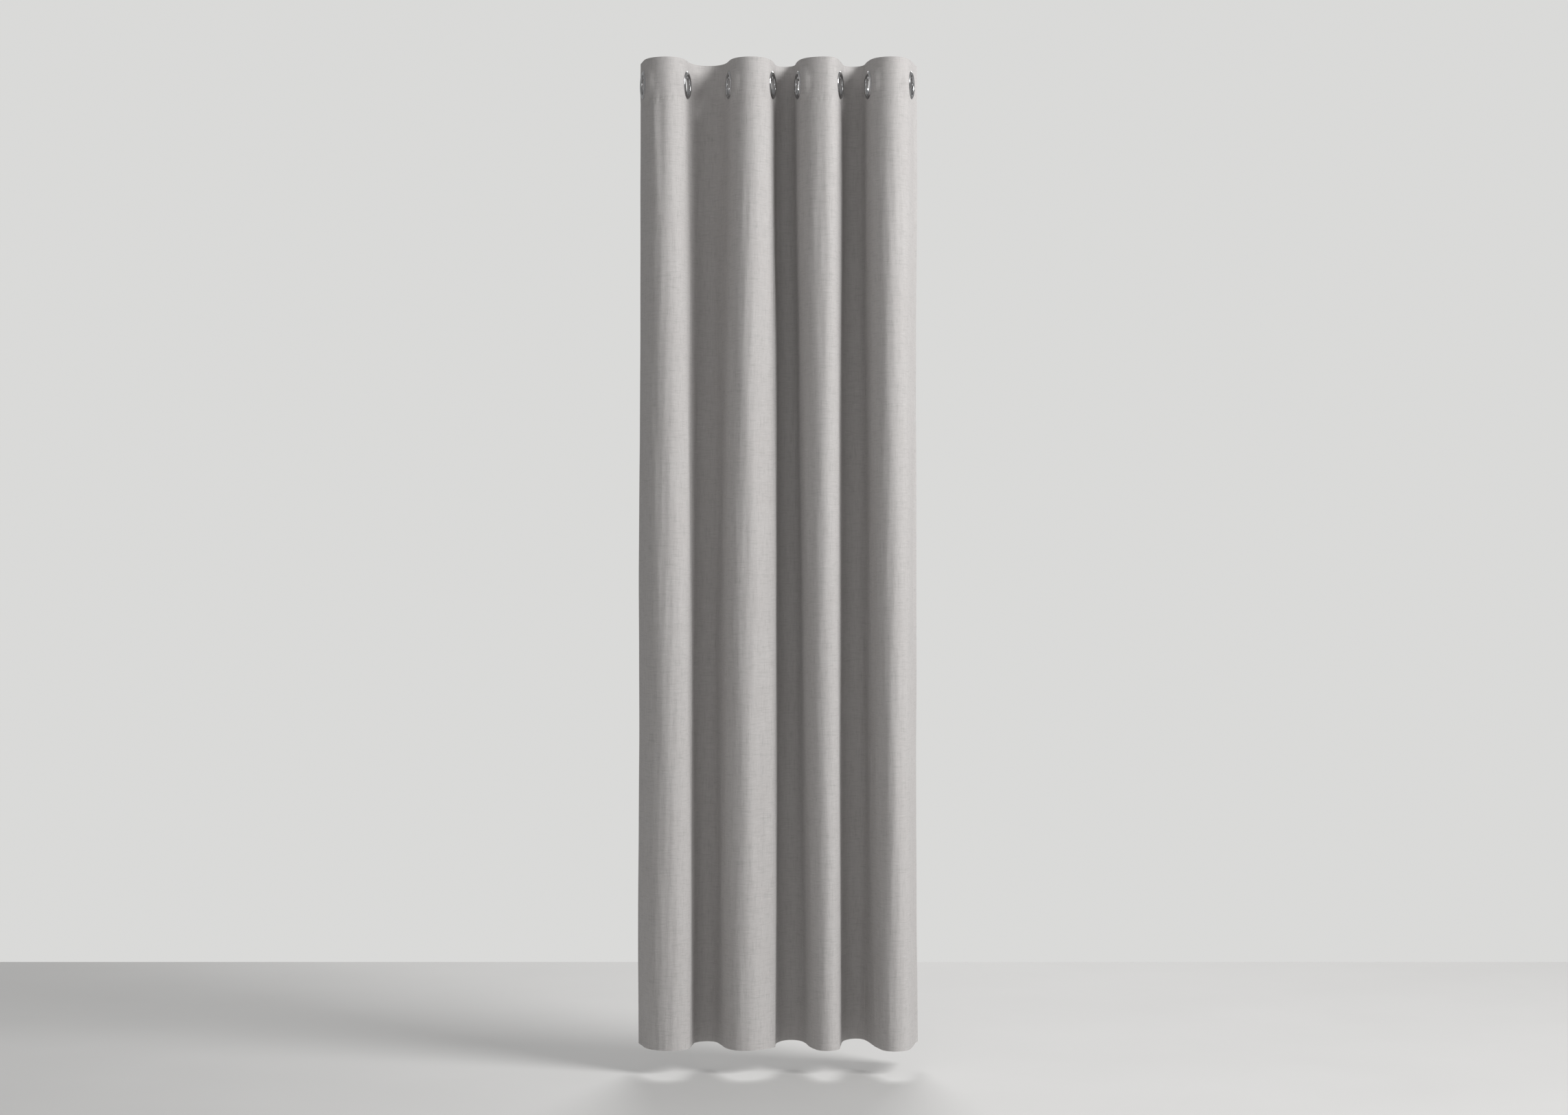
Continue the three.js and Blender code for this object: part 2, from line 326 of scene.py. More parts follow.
class Drape:
    """The hanging cloth as a surface: places along and heights to points in the frame.

    In plan each fold is the curve of a bent strip. Its heading swings from one side to the
    other as a sine of the distance from the crest. How square the sine is, and where the crest
    comes, follow from the fold's width and from the length of cloth in it.
    """

    SAMPLE = 2 * MM
    ROW = 12 * MM
    STEPS = 26
    SHARES = 90
    FLAT_REACH = 36 * MM
    CLAMP_REACH = 66 * MM
    FREE_REACH = 50 * MM
    LIFT_WIDTH = 62 * MM
    LIFT_HEIGHT = 500 * MM
    FLAP_STRAIGHT = 30 * MM
    CURL_REACH = 1.4
    CURL_GAIN = 1.35

    def __init__(self, panel: Panel) -> None:
        """Works out the cloth's plan at closely spaced heights.

        Args:
            panel: The panel's sizes.
        """
        self.panel = panel
        self.along = np.arange(panel.start, panel.end + self.SAMPLE / 2, self.SAMPLE)
        rows = int((panel.top - panel.hem) / self.ROW) + 1
        self.heights = np.linspace(panel.hem, panel.top, rows)
        self.x, self.y = self._plan()

    def _down(self) -> np.ndarray:
        """How far each row is down the free cloth.

        Returns:
            A share for each row, 0 under the header and 1 at the hem.
        """
        start = self.panel.header_edge - 40 * MM
        return np.clip((start - self.heights) / (start - self.panel.hem), 0.0, 1.0)

    def _crossings(self) -> tuple[np.ndarray, np.ndarray, np.ndarray]:
        """Where and how steeply the cloth crosses the pole line in each row.

        Returns:
            The places along the pole, the places along the cloth and the angles in radians,
            each as rows by crossings.
        """
        down = self._down()
        ease = smoothstep(0.0, 0.25, down)
        on_pole, in_cloth, angles = [], [], []
        for index, crossing in enumerate(CROSSINGS):
            bow = 4.0 * down * (1.0 - down)
            mid = crossing.mid_shift - crossing.hem_shift / 2.0
            shift = (mid * bow + crossing.hem_shift * down) * ease
            on_pole.append(self.panel.eyelets[index].x + shift)
            in_cloth.append(self.panel.place_of(index) + crossing.cloth_shift * down * ease)
            turn = crossing.hem_angle - self.panel.pleat_angle
            angles.append(np.radians(self.panel.pleat_angle + turn * smoothstep(0.0, 0.8, down)))
        return np.array(on_pole).T, np.array(in_cloth).T, np.array(angles).T

    @staticmethod
    def _swing(
        from_crest: np.ndarray, square: np.ndarray, facet: np.ndarray | float = 0.0
    ) -> np.ndarray:
        """The share of the full heading at a share of the way from crest to crossing.

        Args:
            from_crest: Shares of the way.
            square: The squareness of that side.
            facet: How much the cloth is drawn into one facet.

        Returns:
            The share of the full heading at each.
        """
        turn = from_crest * math.pi / 2.0
        return np.sin(turn) * (1.0 + square * np.cos(turn) ** 2) + facet * np.sin(4.0 * turn)

    def _heading(
        self, share: np.ndarray, crest: np.ndarray, square: tuple[np.ndarray, np.ndarray],
        angles: tuple[np.ndarray, np.ndarray], facet: np.ndarray
    ) -> np.ndarray:
        """The cloth's heading across one fold, positive before its crest.

        Args:
            share: Shares of the way across the fold.
            crest: Where the crest is, as a share.
            square: The squareness before and after the crest.
            angles: The heading's size at the fold's two ends, in radians.
            facet: How much the cloth after the crest is drawn into one facet.

        Returns:
            The heading at each share.
        """
        before = self._swing(np.clip((crest - share) / crest, 0.0, 1.0), square[0])
        after = self._swing(np.clip((share - crest) / (1.0 - crest), 0.0, 1.0), square[1], facet)
        return angles[0] * before - angles[1] * after

    def _solve_fold(
        self, length: np.ndarray, width: np.ndarray, angles: tuple[np.ndarray, np.ndarray],
        skew: np.ndarray, facet: np.ndarray
    ) -> tuple[np.ndarray, np.ndarray]:
        """Finds the crest and the squareness that close a fold in every row.

        Args:
            length: The cloth in the fold.
            width: The fold's width along the pole.
            angles: The heading's size at the fold's two ends.
            skew: Squareness moved from the right side to the left.
            facet: How much the cloth after the crest is drawn into one facet.

        Returns:
            The crest's share and the squareness, one for each row.
        """
        share = (np.arange(self.SHARES) + 0.5)[None, :] / self.SHARES
        column = [a[:, None] for a in angles]
        rows = len(length)

        def crest_for(square: np.ndarray) -> tuple[np.ndarray, np.ndarray]:
            """Finds the crest that brings each row back to the pole line.

            Args:
                square: The squareness of each row.

            Returns:
                The crest's share and the fold's width, one for each row.
            """
            low, high = np.full(rows, 0.15), np.full(rows, 0.85)
            for _ in range(self.STEPS):
                crest = (low + high) / 2.0
                pair = ((square + skew)[:, None], (square - skew)[:, None])
                heading = self._heading(share, crest[:, None], pair, column, facet[:, None])
                ahead = np.sin(heading).mean(axis=1) < 0.0
                low, high = np.where(ahead, crest, low), np.where(ahead, high, crest)
            return crest, np.cos(heading).mean(axis=1) * length

        low, high = np.full(rows, -0.95), np.full(rows, 1.6)
        for _ in range(self.STEPS):
            square = (low + high) / 2.0
            crest, reach = crest_for(square)
            wide = reach > width
            low, high = np.where(wide, square, low), np.where(wide, high, square)
        return crest, square

    def _plan(self) -> tuple[np.ndarray, np.ndarray]:
        """The front face in plan at every row, before the eyelets flatten it.

        Returns:
            The x and the y of each row by each sample along the cloth.
        """
        on_pole, in_cloth, angles = self._crossings()
        down = self._down()
        along = self.along[None, :]
        heading = np.zeros((len(self.heights), len(self.along)))
        for index, fold in enumerate(FOLDS):
            length = in_cloth[:, index + 1] - in_cloth[:, index]
            width = on_pole[:, index + 1] - on_pole[:, index]
            ends = (angles[:, index], angles[:, index + 1])
            skew = fold.top_skew + (fold.skew - fold.top_skew) * smoothstep(0.0, 0.6, down)
            facet = fold.facet * smoothstep(0.0, 0.4, down)
            crest, square = self._solve_fold(length, width, ends, skew, facet)
            share = (along - in_cloth[:, index, None]) / length[:, None]
            pair = ((square + skew)[:, None], (square - skew)[:, None])
            bend = self._heading(
                share, crest[:, None], pair, [a[:, None] for a in ends], facet[:, None]
            )
            side = -1.0 if index % 2 == 0 else 1.0
            inside = (share >= 0.0) & (share < 1.0)
            heading = np.where(inside, side * bend, heading)
        heading = self._flaps(heading, in_cloth, angles)
        return self._walk(heading, on_pole, in_cloth)

    def _flaps(
        self, heading: np.ndarray, in_cloth: np.ndarray, angles: np.ndarray
    ) -> np.ndarray:
        """Adds the headings of the two side edges, which bend away past the end eyelets.

        Args:
            heading: The folds' headings, as rows by samples.
            in_cloth: The crossings' places along the cloth.
            angles: The crossings' angles in radians.

        Returns:
            The headings with the side edges' added.
        """
        straight = self.FLAP_STRAIGHT
        bent = straight + self.CURL_REACH * (self.panel.flap - straight)
        before = in_cloth[:, :1] - self.along[None, :]
        curl = math.radians(self.panel.left_curl) * smoothstep(straight, bent, before)
        heading = np.where(before > 0.0, -angles[:, :1] + curl * self.CURL_GAIN, heading)
        after = self.along[None, :] - in_cloth[:, -1:]
        curl = math.radians(self.panel.right_curl) * smoothstep(straight, bent, after)
        return np.where(after >= 0.0, angles[:, -1:] + curl * self.CURL_GAIN, heading)

    def _walk(
        self, heading: np.ndarray, on_pole: np.ndarray, in_cloth: np.ndarray
    ) -> tuple[np.ndarray, np.ndarray]:
        """Follows the headings from the first crossing to both edges.

        Args:
            heading: The headings, as rows by samples.
            on_pole: The crossings' places along the pole.
            in_cloth: The crossings' places along the cloth.

        Returns:
            The x and the y of each row by each sample.
        """
        step = np.diff(self.along)[None, :]
        middle = (heading[:, 1:] + heading[:, :-1]) / 2.0
        zero = np.zeros((len(heading), 1))
        x = np.hstack([zero, np.cumsum(np.cos(middle) * step, axis=1)])
        y = np.hstack([zero, np.cumsum(np.sin(middle) * step, axis=1)])
        for row in range(len(heading)):
            crossings_x = np.interp(in_cloth[row], self.along, x[row])
            crossings_y = np.interp(in_cloth[row], self.along, y[row])
            x[row] += np.interp(self.along, in_cloth[row], on_pole[row] - crossings_x)
            y[row] -= np.interp(self.along, in_cloth[row], crossings_y)
        return x, y

    def _look_up(self, table: np.ndarray, along: np.ndarray, height: np.ndarray) -> np.ndarray:
        """Reads a table of rows by samples between its entries.

        Args:
            table: The table.
            along: Places along the cloth.
            height: Heights, of the same shape.

        Returns:
            A value for each place.
        """
        s = np.clip((along - self.along[0]) / self.SAMPLE, 0.0, len(self.along) - 1.001)
        spacing = self.heights[1] - self.heights[0]
        h = np.clip((height - self.heights[0]) / spacing, 0.0, len(self.heights) - 1.001)
        i, j = s.astype(int), h.astype(int)
        a, b = s - i, h - j
        low = table[j, i] * (1 - a) + table[j, i + 1] * a
        high = table[j + 1, i] * (1 - a) + table[j + 1, i + 1] * a
        return low * (1 - b) + high * b

    def front(self, along: np.ndarray, height: np.ndarray) -> np.ndarray:
        """The smooth front face, flat where the eyelets clamp it.

        Args:
            along: Places along the cloth.
            height: Heights, of the same shape.

        Returns:
            Points, with a last axis of three.
        """
        x = self._look_up(self.x, along, height)
        y = self._look_up(self.y, along, height)
        for index, eyelet in enumerate(self.panel.eyelets):
            across = along - self.panel.place_of(index)
            away = np.hypot(across, height - self.panel.eyelet_height)
            clamp = smoothstep(self.CLAMP_REACH, self.FLAT_REACH, away)
            turn = self.panel.turn_of(index)
            x = x + clamp * (eyelet.x + across * math.cos(turn) - x)
            y = y + clamp * (eyelet.y + across * math.sin(turn) - y)
        return np.stack([x, y, height + self._hem_lift(along, height)], axis=-1)

    def _hem_lift(self, along: np.ndarray, height: np.ndarray) -> np.ndarray:
        """How far the cloth rides up near the hem, where a fold hangs a little short.

        Args:
            along: Places along the cloth.
            height: Heights, of the same shape.

        Returns:
            The lift at each place.
        """
        low = smoothstep(self.panel.hem + self.LIFT_HEIGHT, self.panel.hem, height)
        total = np.zeros(np.broadcast(along, height).shape)
        for place, lift in HEM_LIFTS:
            total = total + lift * np.exp(-(((along - place) / self.LIFT_WIDTH) ** 2))
        return total * low

    def facing(self, along: np.ndarray, height: np.ndarray) -> np.ndarray:
        """The outward direction of the front face, towards the room.

        Args:
            along: Places along the cloth.
            height: Heights, of the same shape.

        Returns:
            A unit vector for each place.
        """
        reach = 1.5 * MM
        step_along = self.front(along + reach, height) - self.front(along - reach, height)
        step_up = self.front(along, height + reach) - self.front(along, height - reach)
        out = np.cross(step_along, step_up)
        return out / np.linalg.norm(out, axis=-1, keepdims=True)

    def _near_eyelet(self, along: np.ndarray, height: np.ndarray) -> np.ndarray:
        """How free the cloth is of the eyelets.

        Args:
            along: Places along the cloth.
            height: Heights, of the same shape.

        Returns:
            1 on the free cloth and 0 under the eyelets' flanges.
        """
        free = np.ones(np.broadcast(along, height).shape)
        for index in range(len(self.panel.eyelets)):
            across = along - self.panel.place_of(index)
            away = np.hypot(across, height - self.panel.eyelet_height)
            free = np.minimum(free, smoothstep(self.FLAT_REACH, self.FREE_REACH, away))
        return free

    def relief(self, along: np.ndarray, height: np.ndarray) -> np.ndarray:
        """How far the front face stands out from its smooth shape.

        Args:
            along: Places along the cloth.
            height: Heights, of the same shape.

        Returns:
            The soft waves, creases and stitch puckers together.
        """
        panel = self.panel
        below = smoothstep(panel.header_edge + 20 * MM, panel.header_edge - 260 * MM, height)
        soft = wave_noise(along, height, (85 * MM, 900 * MM), seed=3) * 0.45 * MM
        fine = wave_noise(along, height, (24 * MM, 330 * MM), seed=11) * 0.16 * MM
        waves = (soft + fine) * (0.12 + 0.88 * below)
        pucker_row = np.exp(-(((height - panel.header_edge - 3 * MM) / (9 * MM)) ** 2))
        hem_row = np.exp(-(((height - panel.hem - panel.hem_drop + 3 * MM) / (7 * MM)) ** 2))
        puckers = wave_noise(along, height, (11 * MM, 60 * MM), seed=23) * 0.16 * MM
        stitched = -0.25 * MM * (pucker_row + 0.7 * hem_row)
        creases = self._creases(along, height)
        total = waves + puckers * (pucker_row + 0.8 * hem_row) + stitched + creases
        return total * self._near_eyelet(along, height)

    def _creases(self, along: np.ndarray, height: np.ndarray) -> np.ndarray:
        """Short upright creases that run down from the stiff header.

        Args:
            along: Places along the cloth.
            height: Heights, of the same shape.

        Returns:
            How far they stand out at each place.
        """
        total = np.zeros(np.broadcast(along, height).shape)
        for crease in CREASES:
            lean = crease.lean * (height - crease.height)
            across = (along - crease.along - lean) / crease.width
            reach = np.where(height > crease.height, crease.rise, crease.fall)
            up = (height - crease.height) / reach
            total = total + crease.depth * np.exp(-across**2) * np.exp(-up**2)
        return total

    def point(self, along: np.ndarray, height: np.ndarray, out: np.ndarray | float) -> np.ndarray:
        """A point at a distance out from the front face, with its relief.

        Args:
            along: Places along the cloth.
            height: Heights, of the same shape.
            out: How far towards the room, negative into the cloth and behind it.

        Returns:
            Points, with a last axis of three.
        """
        lift = self.relief(along, height) + out
        return self.front(along, height) + self.facing(along, height) * lift[..., None]


# ---------------------------------------------------------------- finishes


class GroupBuilder:
    """Makes one shader node group with named inputs and outputs."""

    def __init__(self, name: str) -> None:
        """Starts an empty group.

        Args:
            name: The group's name.
        """
        self.tree = bpy.data.node_groups.new(name, "ShaderNodeTree")
        self.enter = self.tree.nodes.new("NodeGroupInput")
        self.leave = self.tree.nodes.new("NodeGroupOutput")

    def takes(self, name: str, default: float | tuple[float, ...]) -> None:
        """Adds an input, a colour where its default has four numbers.

        Args:
            name: The input's name.
            default: Its value where nothing is connected.
        """
        is_colour = isinstance(default, tuple) and len(default) == 4
        is_vector = isinstance(default, tuple) and len(default) == 3
        kind = "NodeSocket" + ("Color" if is_colour else "Vector" if is_vector else "Float")
        socket = self.tree.interface.new_socket(name=name, in_out="INPUT", socket_type=kind)
        socket.default_value = default

    def gives(self, name: str, source: bpy.types.NodeSocket, kind: str = "NodeSocketFloat") -> None:
        """Adds an output and connects it.

        Args:
            name: The output's name.
            source: The socket that feeds it.
            kind: The socket's type.
        """
        self.tree.interface.new_socket(name=name, in_out="OUTPUT", socket_type=kind)
        self.tree.links.new(source, self.leave.inputs[name])

    def node(self, kind: str, links: dict | None = None, **settings: object) -> bpy.types.Node:
        """Adds a node, sets its properties and connects its inputs.

        Args:
            kind: The node's type without its prefix.
            links: Sockets or values, by input name or number.
            settings: The node's properties.

        Returns:
            The new node.
        """
        return add_node(self.tree, kind, links, **settings)

    def math(self, operation: str, *values: object) -> bpy.types.NodeSocket:
        """Adds a maths node and returns its result.

        Args:
            operation: The node's operation.
            values: Sockets or numbers, in order.

        Returns:
            The result.
        """
        return self.node("Math", dict(enumerate(values)), operation=operation).outputs[0]


def add_node(
    tree: bpy.types.NodeTree, kind: str, links: dict | None = None, **settings: object
) -> bpy.types.Node:
    """Adds a node to a tree, sets its properties and connects its inputs.

    Args:
        tree: The tree.
        kind: The node's type. A shader node's may leave out its prefix.
        links: Sockets or values, by input name or number.
        settings: The node's properties.

    Returns:
        The new node.
    """
    node = tree.nodes.new(kind if "Node" in kind else "ShaderNode" + kind)
    for name, value in settings.items():
        setattr(node, name, value)
    for name, value in (links or {}).items():
        if isinstance(value, bpy.types.NodeSocket):
            tree.links.new(value, node.inputs[name])
        else:
            node.inputs[name].default_value = value
    return node


def start_material(name: str) -> tuple[bpy.types.Material, bpy.types.NodeTree, bpy.types.Node]:
    """Makes a material with its usual shader.

    Args:
        name: The material's name.

    Returns:
        The material, its tree and its shader.
    """
    made = bpy.data.materials.new(name)
    made.use_nodes = True
    return made, made.node_tree, made.node_tree.nodes["Principled BSDF"]


def weave_group() -> bpy.types.NodeTree:
    """Plain weave with slubs, from a place on the cloth in metres.

    Returns:
        A group that gives a shade about 1 and a height in metres.
    """
    group = GroupBuilder("slub_weave")
    for name, default in (
        ("Place", (0.0, 0.0, 0.0)), ("Thread Pitch", 0.0009), ("Slub Strength", 0.05),
        ("Thread Strength", 0.03), ("Slub Height", 0.00016), ("Thread Height", 0.00012),
    ):
        group.takes(name, default)
    place = group.enter.outputs["Place"]
    parts = group.node("SeparateXYZ", {0: place})
    along, up = parts.outputs["X"], parts.outputs["Y"]

    def streaks(
        scale: tuple[float, float], seed: float, low: float, high: float
    ) -> bpy.types.NodeSocket:
        """Broken streaks, for the threads that are thicker or thinner than the rest.

        Args:
            scale: How fine they are along the cloth and up it.
            seed: Where the noise is read.
            low: The noise at which a streak starts.
            high: The noise at which it is full.

        Returns:
            Their strength, from 0 to 1.
        """
        stretched = group.node(
            "Mapping", {"Vector": place, "Scale": (*scale, 1.0), "Location": (seed, seed, seed)}
        )
        noise = group.node(
            "TexNoise",
            {"Vector": stretched.outputs[0], "Scale": 1.0, "Detail": 2.0, "Roughness": 0.6},
            noise_dimensions="3D",
        )
        ramp = group.node(
            "MapRange",
            {0: noise.outputs["Fac"], 1: low, 2: high, 3: 0.0, 4: 1.0},
            interpolation_type="SMOOTHSTEP",
        )
        return ramp.outputs[0]

    warp_slub = streaks((620.0, 34.0), 3.1, 0.56, 0.72)
    weft_slub = streaks((44.0, 600.0), 7.7, 0.55, 0.71)
    warp_thin = streaks((760.0, 26.0), 13.3, 0.57, 0.74)
    weft_thin = streaks((34.0, 720.0), 19.9, 0.57, 0.73)
    warp_band = streaks((260.0, 26.0), 27.1, 0.50, 0.70)
    weft_band = streaks((34.0, 270.0), 31.7, 0.50, 0.70)
    band = group.math("MULTIPLY", group.math("ADD", warp_band, weft_band), 0.75)
    light = group.math("ADD", group.math("MULTIPLY", warp_slub, 0.8), weft_slub)
    thin = group.math("ADD", group.math("MULTIPLY", warp_thin, 0.8), weft_thin)
    dark = group.math("ADD", thin, band)
    slub = group.math("SUBTRACT", light, group.math("MULTIPLY", dark, 1.15))

    pitch = group.enter.outputs["Thread Pitch"]
    wobble = group.node("TexNoise", {"Vector": place, "Scale": 90.0, "Detail": 1.0}).outputs["Fac"]
    sway = group.math("MULTIPLY", group.math("SUBTRACT", wobble, 0.5), 6.0)

    def thread(value: bpy.types.NodeSocket) -> bpy.types.NodeSocket:
        """The wave of one set of threads.

        Args:
            value: Places across the threads.

        Returns:
            The wave, from -1 to 1.
        """
        turns = group.math("MULTIPLY", group.math("DIVIDE", value, pitch), 2.0 * math.pi)
        return group.math("SINE", group.math("ADD", turns, sway))

    crossing = group.math("MULTIPLY", thread(along), thread(up))
    rib = group.math("ABSOLUTE", crossing)

    slubbed = group.math("MULTIPLY", slub, group.enter.outputs["Slub Strength"])
    shade = group.math("ADD", slubbed, 1.0)
    ribbed = group.math("SUBTRACT", rib, 0.4)
    fine = group.math("MULTIPLY", ribbed, group.enter.outputs["Thread Strength"])
    group.gives("Shade", group.math("ADD", shade, fine))
    tall = group.math("MULTIPLY", slub, group.enter.outputs["Slub Height"])
    ribs = group.math("MULTIPLY", crossing, group.enter.outputs["Thread Height"])
    group.gives("Height", group.math("ADD", tall, ribs))
    return group.tree


@dataclass(frozen=True)
class Linen:
    """The curtain's cloth.

    Attributes:
        name: The material's name.
        colour: The cloth's linear colour.
        warm: The colour that broad patches lean towards.
        slub: How strongly thick threads lighten the cloth.
        roughness: The cloth's roughness.
        sheen: How much light its raised fibres catch.
    """

    name: str = "linen"
    colour: tuple[float, float, float] = (0.50, 0.486, 0.478)
    warm: tuple[float, float, float] = (0.475, 0.455, 0.446)
    slub: float = 0.09
    roughness: float = 0.92
    sheen: float = 0.12

    def material(self) -> bpy.types.Material:
        """Makes the cloth's material, laid out on the cloth's own UV map.

        Returns:
            The new material.
        """
        made, tree, shader = start_material(self.name)
        place = add_node(tree, "UVMap", uv_map="cloth").outputs["UV"]
        weave = tree.nodes.new("ShaderNodeGroup")
        weave.node_tree = bpy.data.node_groups.get("slub_weave") or weave_group()
        tree.links.new(place, weave.inputs["Place"])
        weave.inputs["Slub Strength"].default_value = self.slub
        patches = add_node(
            tree, "TexNoise", {"Vector": place, "Scale": 7.0, "Detail": 3.0}
        ).outputs["Fac"]
        blend_colour = add_node(
            tree,
            "Mix",
            {0: patches, 6: (*self.colour, 1.0), 7: (*self.warm, 1.0)},
            data_type="RGBA",
        )
        shaded = add_node(
            tree,
            "VectorMath",
            {0: blend_colour.outputs[2], "Scale": weave.outputs["Shade"]},
            operation="SCALE",
        )
        tree.links.new(shaded.outputs[0], shader.inputs["Base Color"])
        rough = add_node(
            tree,
            "MapRange",
            {
                0: weave.outputs["Shade"],
                1: 0.9,
                2: 1.1,
                3: self.roughness + 0.05,
                4: self.roughness - 0.05,
            },
        )
        tree.links.new(rough.outputs[0], shader.inputs["Roughness"])
        bump = add_node(
            tree, "Bump", {"Height": weave.outputs["Height"], "Distance": 1.0, "Strength": 0.6}
        )
        tree.links.new(bump.outputs[0], shader.inputs["Normal"])
        shader.inputs["Sheen Weight"].default_value = self.sheen
        shader.inputs["Sheen Roughness"].default_value = 0.45
        shader.inputs["Specular IOR Level"].default_value = 0.25
        return made


@dataclass(frozen=True)
class Plating:
    """The eyelets' polished plating, with faint turning marks and light wear.

    Attributes:
        name: The material's name.
        colour: The metal's linear colour.
        roughness: The metal's roughness.
    """

    name: str = "eyelet_plating"
    colour: tuple[float, float, float] = (0.52, 0.52, 0.525)
    roughness: float = 0.17

    def material(self) -> bpy.types.Material:
        """Makes the plating's material.

        Returns:
            The new material.
        """
        made, tree, shader = start_material(self.name)
        place = add_node(tree, "TexCoord").outputs["Object"]
        smudge = add_node(
            tree, "TexNoise", {"Vector": place, "Scale": 60.0, "Detail": 4.0}
        ).outputs["Fac"]
        scratch_place = add_node(tree, "Mapping", {"Vector": place, "Scale": (900.0, 900.0, 120.0)})
        scratch = add_node(
            tree, "TexNoise", {"Vector": scratch_place.outputs[0], "Scale": 1.0, "Detail": 2.0}
        )
        rough = add_node(
            tree,
            "MapRange",
            {0: smudge, 1: 0.35, 2: 0.7, 3: self.roughness - 0.05, 4: self.roughness + 0.08},
        )
        tree.links.new(rough.outputs[0], shader.inputs["Roughness"])
        dull = tuple(c * 0.9 for c in self.colour)
        tone = add_node(
            tree, "Mix", {0: smudge, 6: (*self.colour, 1.0), 7: (*dull, 1.0)}, data_type="RGBA"
        )
        tree.links.new(tone.outputs[2], shader.inputs["Base Color"])
        bump = add_node(
            tree, "Bump", {"Height": scratch.outputs["Fac"], "Distance": 0.00002, "Strength": 0.4}
        )
        tree.links.new(bump.outputs[0], shader.inputs["Normal"])
        shader.inputs["Metallic"].default_value = 1.0
        return made


@dataclass(frozen=True)
class Thread:
    """Sewing thread, a shade lighter than the cloth, with the twist of its plies.

    Attributes:
        name: The material's name.
        colour: The thread's linear colour.
    """

    name: str = "sewing_thread"
    colour: tuple[float, float, float] = (0.62, 0.61, 0.59)

    def material(self) -> bpy.types.Material:
        """Makes the thread's material.

        Returns:
            The new material.
        """
        made, tree, shader = start_material(self.name)
        place = add_node(tree, "TexCoord").outputs["Object"]
        twist = add_node(tree, "TexWave", {"Vector": place, "Scale": 900.0, "Distortion": 2.0})
        dark = tuple(c * 0.8 for c in self.colour)
        tone = add_node(
            tree,
            "Mix",
            {0: twist.outputs["Fac"], 6: (*dark, 1.0), 7: (*self.colour, 1.0)},
            data_type="RGBA",
        )
        tree.links.new(tone.outputs[2], shader.inputs["Base Color"])
        shader.inputs["Roughness"].default_value = 0.75
        shader.inputs["Sheen Weight"].default_value = 0.1
        return made


@dataclass(frozen=True)
class Satin:
    """The care label's woven satin ribbon.

    Attributes:
        name: The material's name.
        colour: The ribbon's linear colour.
    """

    name: str = "label_satin"
    colour: tuple[float, float, float] = (0.80, 0.79, 0.76)

    def material(self) -> bpy.types.Material:
        """Makes the ribbon's material.

        Returns:
            The new material.
        """
        made, tree, shader = start_material(self.name)
        place = add_node(tree, "UVMap", uv_map="cloth").outputs["UV"]
        weave = tree.nodes.new("ShaderNodeGroup")
        weave.node_tree = bpy.data.node_groups.get("slub_weave") or weave_group()
        tree.links.new(place, weave.inputs["Place"])
        weave.inputs["Thread Pitch"].default_value = 0.0004
        weave.inputs["Slub Strength"].default_value = 0.015
        weave.inputs["Thread Height"].default_value = 0.00004
        shaded = add_node(
            tree,
            "VectorMath",
            {0: (*self.colour,), "Scale": weave.outputs["Shade"]},
            operation="SCALE",
        )
        tree.links.new(shaded.outputs[0], shader.inputs["Base Color"])
        bump = add_node(
            tree, "Bump", {"Height": weave.outputs["Height"], "Distance": 1.0, "Strength": 0.3}
        )
        tree.links.new(bump.outputs[0], shader.inputs["Normal"])
        shader.inputs["Roughness"].default_value = 0.5
        return made


# ---------------------------------------------------------------- meshes


def new_object(
    name: str, points: np.ndarray, faces: list | np.ndarray, material: bpy.types.Material,
    uv: np.ndarray | None = None, normals: np.ndarray | None = None
) -> bpy.types.Object:
    """Makes a smooth-shaded mesh object.

    Args:
        name: The piece's name.
        points: Its vertices, in metres.
        faces: Its faces, as vertex numbers.
        material: Its material.
        uv: A place on the cloth for each vertex, where it has one.
        normals: The surface's normal at each vertex, for the faces that aren't on the rim.

    Returns:
        The new object.
    """
    mesh = bpy.data.meshes.new(name)
    mesh.from_pydata(points.tolist(), [], [tuple(map(int, f)) for f in faces])
    mesh.update()
    if uv is not None:
        layer = mesh.uv_layers.new(name="cloth")
        corners = np.empty(len(mesh.loops), dtype=np.int64)
        mesh.loops.foreach_get("vertex_index", corners)
        layer.data.foreach_set("uv", uv[corners].astype(np.float32).ravel())
    mesh.shade_smooth()
    if normals is not None:
        set_normals(mesh, normals)
    mesh.materials.append(material)
    made = bpy.data.objects.new(name, mesh)
    bpy.context.scene.collection.objects.link(made)
    return made


def set_normals(mesh: bpy.types.Mesh, normals: np.ndarray) -> None:
    """Gives a shell's faces exact normals, so that neighbouring pieces shade as one cloth.

    Args:
        mesh: The shell's mesh.
        normals: The surface's normal at each vertex. A face that is square to them is on the rim
            and keeps its own normal.
    """
    vertex = np.empty(len(mesh.loops), dtype=np.int64)
    mesh.loops.foreach_get("vertex_index", vertex)
    sides = np.empty(len(mesh.polygons), dtype=np.int64)
    mesh.polygons.foreach_get("loop_total", sides)
    own = np.empty(len(mesh.polygons) * 3)
    mesh.polygons.foreach_get("normal", own)
    own = np.repeat(own.reshape(-1, 3), sides, axis=0)
    wanted = normals[vertex]
    on_rim = np.einsum("ij,ij->i", wanted, own) < 0.5
    mesh.normals_split_custom_set(np.where(on_rim[:, None], own, wanted).tolist())


